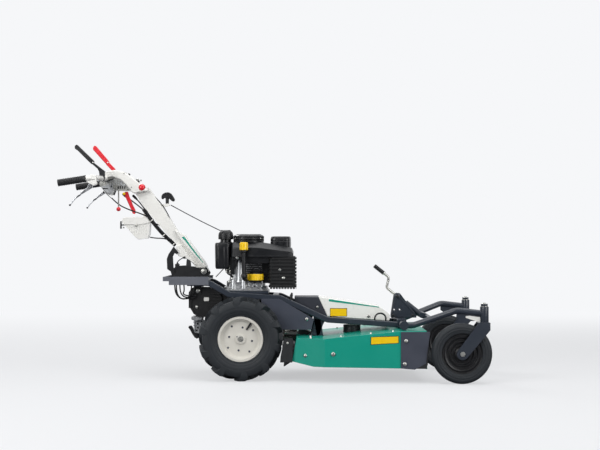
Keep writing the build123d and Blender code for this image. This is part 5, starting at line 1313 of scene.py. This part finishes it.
def makeTail():
    spec = tail
    bm = bmesh.new()
    for route in spec["loops"]:
        tube(bm, smoothPath(route), spec["loopRadius"], 10)
    piece("tailLoops", bm, "cable_sheath", "chassis", smooth=60, replaced=["tail_cables"])
    bm = bmesh.new()
    lathe(bm, spec["grommet"], spec["grommetAt"], (0, -1, 0), 24)
    piece("columnGrommet", bm, "black_plastic", "handlebar", smooth=45)
    bm = bmesh.new()
    block(bm, *spec["post"])
    lathe(bm, spec["spout"], spec["spoutAt"], (0.1, 0, 1), 20)
    piece("bracketPost", bm, "black_plastic", "chassis", edge=2.0, smooth=30)


makeDeckTrim()
makeRearGuard()
makeTray()
makeRearHitch()
makeTail()
print("deck and rear trim made")

# Height adjuster: bright rod and crank with a ribbed grip; the bracket's bosses, edge flanges and gussets
heightGear = dict(
    apex=(626.8, 408.0), way=(0.7826, -0.6225), rodBack=68, rodOn=117, rodRadius=6.8, corner=9,
    arm=54, armWay=(0.24, 0.97), stub=34,
    # trunnion and collar of the rod: turned outlines and their steps
    trunnion=[([(-24, 11.5), (24, 11.5)], 28), ([(-29, 6.5), (29, 6.5)], 24)],
    collar=[(20, 9.5), (22, 10.5), (26, 10.5), (28, 9.5)], gripRings=7, ringSpacing=8.2,
    boss=[(-1, 15), (4, 15), (5, 13)], bossCap=[(-1, 8), (2, 8), (3, 6.5)], bracketFaces=(29, 32), capFace=34,
    flanges=[
        [(600, 303), (722, 303), (722, 307), (600, 307)], [(616, 400), (621, 400), (603, 320), (598, 320)],
        [(641, 398), (645, 401), (716, 320), (711, 318)],
    ],
    bolts=[(606, 312), (704, 311)], boltFace=30,
    gusset=[(204, 300), (262, 296), (248, 271), (231, 217), (187, 215), (200, 262)], gussetY=(125, 131),
)

# Spindle foot with its bolt ring and the guard before it, and the drive sleeves behind
spindle = dict(
    guard=[(116, 214), (128, 240), (152, 240), (190, 226), (190, 214)], guardHalf=44,
    x=397, foot=[(200, 60), (206, 60), (212, 54), (236, 40), (262, 36)], bolts=6, boltRing=52, boltTurn=20,
    boltZ=209, sleeve=[(0, 19), (4, 20), (8, 18.5), (60, 18.5), (64, 20), (70, 19)], sleeveAt=(50, 62, 225),
)


def makeHeightGear():
    spec = heightGear
    apex = Vector((spec["apex"][0], 0, spec["apex"][1]))
    way = Vector((spec["way"][0], 0, spec["way"][1])).normalized()
    side = Vector((spec["armWay"][0], 0, spec["armWay"][1])).normalized()
    tail = apex - way * spec["rodBack"]
    armEnd = tail + side * spec["arm"]
    stubEnd = armEnd - way * spec["stub"]
    bend = spec["corner"]
    path = [
        apex + way * spec["rodOn"], tail + way * bend, tail + (way + side) * bend * 0.3, tail + side * bend,
        armEnd - side * bend, armEnd - (way + side) * bend * 0.3, armEnd - way * bend, stubEnd - way * 4,
    ]
    bm = bmesh.new()
    tube(bm, path, spec["rodRadius"], 20)
    for profile, steps in spec["trunnion"]:
        lathe(bm, profile, apex, (0, 1, 0), steps)
    lathe(bm, spec["collar"], stubEnd + way * 24, -way, 24)
    piece("crankRod", bm, "zinc", "height_screw", smooth=45, replaced=["height_screw"])
    bm = bmesh.new()
    profile = [(0, 7), (1.5, 10)]
    for k in range(spec["gripRings"]):
        at = 3 + spec["ringSpacing"] * k
        profile += [(at, 10.5), (at + 5.6, 10.5), (at + 6.2, 9.4), (at + 7.6, 9.4)]
    profile += [(60.5, 10.5), (62, 8)]
    lathe(bm, profile, stubEnd, -way, 28)
    piece("crankGrip", bm, "black_plastic", "height_screw", smooth=40)
    # on each side the bracket's boss, folded edges and bolts, and a hanger gusset
    edges, bolts, gussets = [bmesh.new() for k in range(3)]
    for face in (-1, 1):
        inner, outer = [face * y for y in spec["bracketFaces"]]
        lathe(edges, spec["boss"], (apex.x, inner, apex.z), (0, face, 0), 32)
        for flange in spec["flanges"]:
            sidePrism(edges, flange, inner, outer)
        lathe(bolts, spec["bossCap"], (apex.x, face * spec["capFace"], apex.z), (0, face, 0), 24)
        for x, z in spec["bolts"]:
            bolt(bolts, (x, face * spec["boltFace"], z), (0, face, 0), 4.5)
        sidePrism(gussets, spec["gusset"], *[face * y for y in spec["gussetY"]])
    piece("bracketEdges", edges, "frame_enamel", "chassis", edge=1.2, smooth=35)
    piece("bracketBolts", bolts, "black_rod", "chassis", smooth=40)
    piece("hangerGussets", gussets, "frame_enamel", "chassis", edge=1.5, smooth=30)


def makeSpindle():
    spec = spindle
    bm = bmesh.new()
    sidePrism(bm, spec["guard"], -spec["guardHalf"], spec["guardHalf"])
    lathe(bm, spec["foot"], (spec["x"], 0, 0), (0, 0, 1), 56)
    for k in range(spec["bolts"]):
        turn = math.radians(360 / spec["bolts"] * k + spec["boltTurn"])
        x, y = spec["boltRing"] * math.cos(turn), spec["boltRing"] * math.sin(turn)
        bolt(bm, (spec["x"] + x, y, spec["boltZ"]), (0, 0, 1), 6)
    piece("spindleFoot", bm, "cast_housing", "chassis", edge=1.2, smooth=32)
    bm = bmesh.new()
    x, y, z = spec["sleeveAt"]
    for side in (-1, 1):
        lathe(bm, spec["sleeve"], (x, side * y, z), (1, 0, 0), 36)
    piece("driveSleeves", bm, "zinc", "chassis", smooth=40)


# Lift loops: round arcs of rod that stand on the rails
liftLoop = dict(
    x=533, y=145, half=27.5, high=26, radius=4.3, spring=302,
    # feet of the rod: side and height
    feet=[(-1, 291), (-1, 300), (1, 300), (1, 289)],
)


def makeLiftLoops():
    spec = liftLoop
    feet = [(side * spec["half"], z) for side, z in spec["feet"]]
    turns = [math.pi * k / 12 for k in range(13)]
    arc = [(-spec["half"] * math.cos(turn), spec["spring"] + spec["high"] * math.sin(turn)) for turn in turns]
    bm = bmesh.new()
    for side in (-1, 1):
        line = [(spec["x"] + x, side * spec["y"], z) for x, z in feet[:2] + arc + feet[2:]]
        tube(bm, line, spec["radius"], 14)
    piece("liftLoops", bm, "black_rod", "chassis", smooth=60, replaced=["lift_loops"])


# Caster tops: plated washer, nut and stud end
casterTop = dict(
    at=(1022, 350),
    # turned outlines and their steps
    parts=[
        ([(371.5, 18), (374.5, 18), (375, 16)], 36), ([(375, 14), (384.5, 14), (386, 12.4), (386.2, 7)], 6),
        ([(380, 7.2), (389.6, 7.2), (390.5, 6)], 24),
    ],
)


def makeCasterTops():
    x, y = casterTop["at"]
    for side, hand in hands:
        bm = bmesh.new()
        for profile, steps in casterTop["parts"]:
            lathe(bm, profile, (x, side * y, 0), (0, 0, 1), steps)
        piece(f"casterNut.{hand}", bm, "zinc", f"caster_{hand}", smooth=40)


# Column foot: white gusset plates down to the bracket and a broad nose; a small cable and a rubber boot,
# which bend() leaves unbent
columnFoot = dict(
    plate=[
        (-497, 664), (-486, 614), (-458, 601), (-432, 593), (-404, 574), (-384, 562), (-420, 600),
        (-470, 668),
    ],
    half=44, noseHalf=46,
    nose=[
        (-502, 743), (-452, 718), (-437, 698), (-417, 671), (-350, 581), (-337, 556), (-352, 556),
        (-400, 610), (-470, 690),
    ],
    cable=[(-494, -42, 566), (-489, -43, 582), (-474, -46, 596), (-456, -49, 604)], cableRadius=2.4,
    boot=[(-446, 546), (-419, 546), (-422, 590), (-426, 596), (-440, 596), (-443, 590)], bootY=(-40, -24),
    # places along the boot that are given to bend()
    squash=((-432, -32, 552), (-432, -32, 592)),
)


def makeColumnFoot():
    spec = columnFoot
    bm = bmesh.new()
    sidePrism(bm, spec["plate"], -spec["half"], spec["half"])
    sidePrism(bm, spec["nose"], -spec["noseHalf"], spec["noseHalf"])
    piece("columnFoot", bm, "white_enamel", "handlebar", edge=4.0, smooth=30)
    route = smoothPath(spec["cable"])
    bm = bmesh.new()
    tube(bm, route, spec["cableRadius"], 10)
    cable = piece("tiltCable", bm, "cable_sheath", None, smooth=60)
    bend(cable, "cable_sheath", "chassis", "handlebar", route[0], route[-1])
    bm = bmesh.new()
    sidePrism(bm, spec["boot"], *spec["bootY"])
    boot = piece("footBoot", bm, "rubber_flap", None, edge=2.0, smooth=30)
    bend(boot, "rubber_flap", "chassis", "handlebar", *spec["squash"])


# Deck corners: black flap edges in front of the plates
cornerFlap = dict(
    outline=[(742, 242), (757, 245), (750, 92), (742, 71), (688, 71), (704, 88), (736, 98)],
    faces=(336, 344.4),
)


def makeDeckCorners():
    bm = bmesh.new()
    for side in (-1, 1):
        sidePrism(bm, cornerFlap["outline"], *[side * y for y in cornerFlap["faces"]])
    piece("cornerFlaps", bm, "rubber_flap", "chassis", edge=1.5, smooth=30)


makeHeightGear()
makeSpindle()
makeLiftLoops()
makeCasterTops()
makeColumnFoot()
makeDeckCorners()
print("height gear and corners made")

# Stage: a pale floor that sweeps up into the backdrop; places in m
stage = dict(
    back=10.0, rise=9.0, half=14.0, front=-9.0, bend=2.5, floor="#EBECEE", wall="#F6F7F9", bounce="#7E8085",
    lift=0.62,
    # where the floor's colour turns to the wall's, and where it starts to count as behind the machine
    turning=(0.5, 5.5), behind=(1.5, 3.5),
)


def seenPale(tree, depth, near, far):
    # 1 for the camera, and in gloss and through clear parts where depth says that it lies behind the machine
    rays = addNode(tree, "ShaderNodeLightPath").outputs
    span = {"From Min": near, "From Max": far}
    behind = addNode(tree, "ShaderNodeMapRange", span, {"Value": depth}).outputs["Result"]
    pale = rays["Is Glossy Ray"]
    for operation, other in (
        ("MAXIMUM", rays["Is Transmission Ray"]), ("MULTIPLY", behind), ("MAXIMUM", rays["Is Camera Ray"])
    ):
        pale = addNode(tree, "ShaderNodeMath", {"operation": operation}, {0: pale, 1: other}).outputs[0]
    return pale


def makeStage():
    spec = stage
    bm = bmesh.new()
    bend, foot = spec["bend"], spec["back"] - spec["bend"]
    line = [(spec["front"], 0.0), (foot, 0.0)]
    for k in range(1, 17):
        turn = k / 16 * math.pi / 2
        line.append((foot + bend * math.sin(turn), bend - bend * math.cos(turn)))
    line.append((spec["back"], spec["rise"]))
    rows = [[bm.verts.new((x, y, z)) for x in (-spec["half"], spec["half"])] for y, z in line]
    for a, b in zip(rows, rows[1:]):
        bm.faces.new((a[0], a[1], b[1], b[0]))
    mesh = bpy.data.meshes.new("sweep")
    bm.to_mesh(mesh)
    bm.free()
    mesh.shade_smooth()
    obj = bpy.data.objects.new("sweep", mesh)
    bpy.context.collection.objects.link(obj)
    mat = bpy.data.materials.new("paperSweep")
    mat.use_nodes = True
    tree = mat.node_tree
    tree.nodes.clear()
    place = addNode(tree, "ShaderNodeNewGeometry").outputs["Position"]
    along = addNode(tree, "ShaderNodeSeparateXYZ", {}, {"Vector": place}).outputs["Y"]
    near, far = spec["turning"]
    turned = addNode(
        tree, "ShaderNodeMapRange", {"From Min": near, "From Max": far, "interpolation_type": "SMOOTHSTEP"},
        {"Value": along},
    ).outputs["Result"]
    floor, wall = linear(spec["floor"]), linear(spec["wall"])
    tint = addNode(tree, "ShaderNodeMix", {"data_type": "RGBA", 6: floor, 7: wall}, {0: turned}).outputs[2]
    # the paper's own light lifts what the camera sees of it, and the shadow on it stays; elsewhere it is grey
    straight = seenPale(tree, along, *spec["behind"])
    bounce = addNode(
        tree, "ShaderNodeMix", {"data_type": "RGBA", 6: linear(spec["bounce"])}, {0: straight, 7: tint}
    ).outputs[2]
    paper = addNode(tree, "ShaderNodeBsdfDiffuse", {}, {"Color": bounce}).outputs[0]
    lift = addNode(tree, "ShaderNodeMapRange", {"To Min": spec["lift"]}, {"Value": turned}).outputs["Result"]
    seen = addNode(tree, "ShaderNodeMath", {"operation": "MULTIPLY"}, {0: straight, 1: lift}).outputs[0]
    glow = addNode(tree, "ShaderNodeEmission", {"Strength": 1.0}, {"Color": tint}).outputs[0]
    both = addNode(tree, "ShaderNodeMixShader", {}, {0: seen, 1: paper, 2: glow}).outputs[0]
    addNode(tree, "ShaderNodeOutputMaterial", {}, {"Surface": both})
    mesh.materials.append(mat)


makeStage()

# Soft studio light: a pale world, a wide lamp overhead, one at each side of the camera and one behind
lamps = [
    dict(name="overhead", at=(0.2, -0.8, 4.2), to=(0.0, 0.0, 0.4), size=4.5, power=125),
    dict(name="keyLeft", at=(-3.6, -4.2, 2.6), to=(0.0, 0.0, 0.5), size=3.2, power=186),
    dict(name="fillRight", at=(4.0, -3.8, 2.0), to=(0.2, 0.0, 0.4), size=3.6, power=142),
    dict(name="backLeft", at=(-2.6, 4.4, 4.0), to=(0.0, 0.0, 0.4), size=2.4, power=115),
]
for spec in lamps:
    data = bpy.data.lights.new(spec["name"], "AREA")
    data.shape = "SQUARE"
    data.size = spec["size"]
    data.energy = spec["power"]
    lamp = bpy.data.objects.new(spec["name"], data)
    bpy.context.collection.objects.link(lamp)
    lamp.location = spec["at"]
    way = Vector(spec["to"]) - Vector(spec["at"])
    lamp.rotation_euler = way.to_track_quat("-Z", "Y").to_euler()

# The world lights the machine softly, and the backdrop is what is seen past the sweep. behind is how far back
# a ray has to point, as a share of its direction, before gloss and clear parts show the backdrop.
studio = dict(glow="#F1F2F6", glowStrength=0.12, backdrop="#F4F5F7", backdropStrength=1.0, behind=(0.0, 0.3))
world = bpy.data.worlds.new("studio")
bpy.context.scene.world = world
world.use_nodes = True
tree = world.node_tree
tree.nodes.clear()
glow, backdrop = [
    addNode(
        tree, "ShaderNodeBackground", {"Color": linear(studio[name]), "Strength": studio[f"{name}Strength"]}
    ).outputs[0]
    for name in ("glow", "backdrop")
]
aim = addNode(tree, "ShaderNodeTexCoord").outputs["Generated"]
aim = addNode(tree, "ShaderNodeSeparateXYZ", {}, {"Vector": aim}).outputs["Y"]
pale = seenPale(tree, aim, *studio["behind"])
both = addNode(tree, "ShaderNodeMixShader", {}, {0: pale, 1: glow, 2: backdrop}).outputs[0]
addNode(tree, "ShaderNodeOutputWorld", {}, {"Surface": both})

# Camera: square to the machine's right side, level with the storage pod's foot and tilted up a little
cameraSpec = dict(at=(0.1327, -6.481, 0.693), lens=76.2, sensor=36.0, tiltUp=0.677)
cameraData = bpy.data.cameras.new("camera")
cameraData.sensor_width = cameraSpec["sensor"]
cameraData.lens = cameraSpec["lens"]
camera = bpy.data.objects.new("camera", cameraData)
bpy.context.collection.objects.link(camera)
camera.location = cameraSpec["at"]
camera.rotation_euler = (math.radians(90 + cameraSpec["tiltUp"]), 0, 0)
bpy.context.scene.camera = camera
bpy.context.scene.view_settings.view_transform = "Standard"
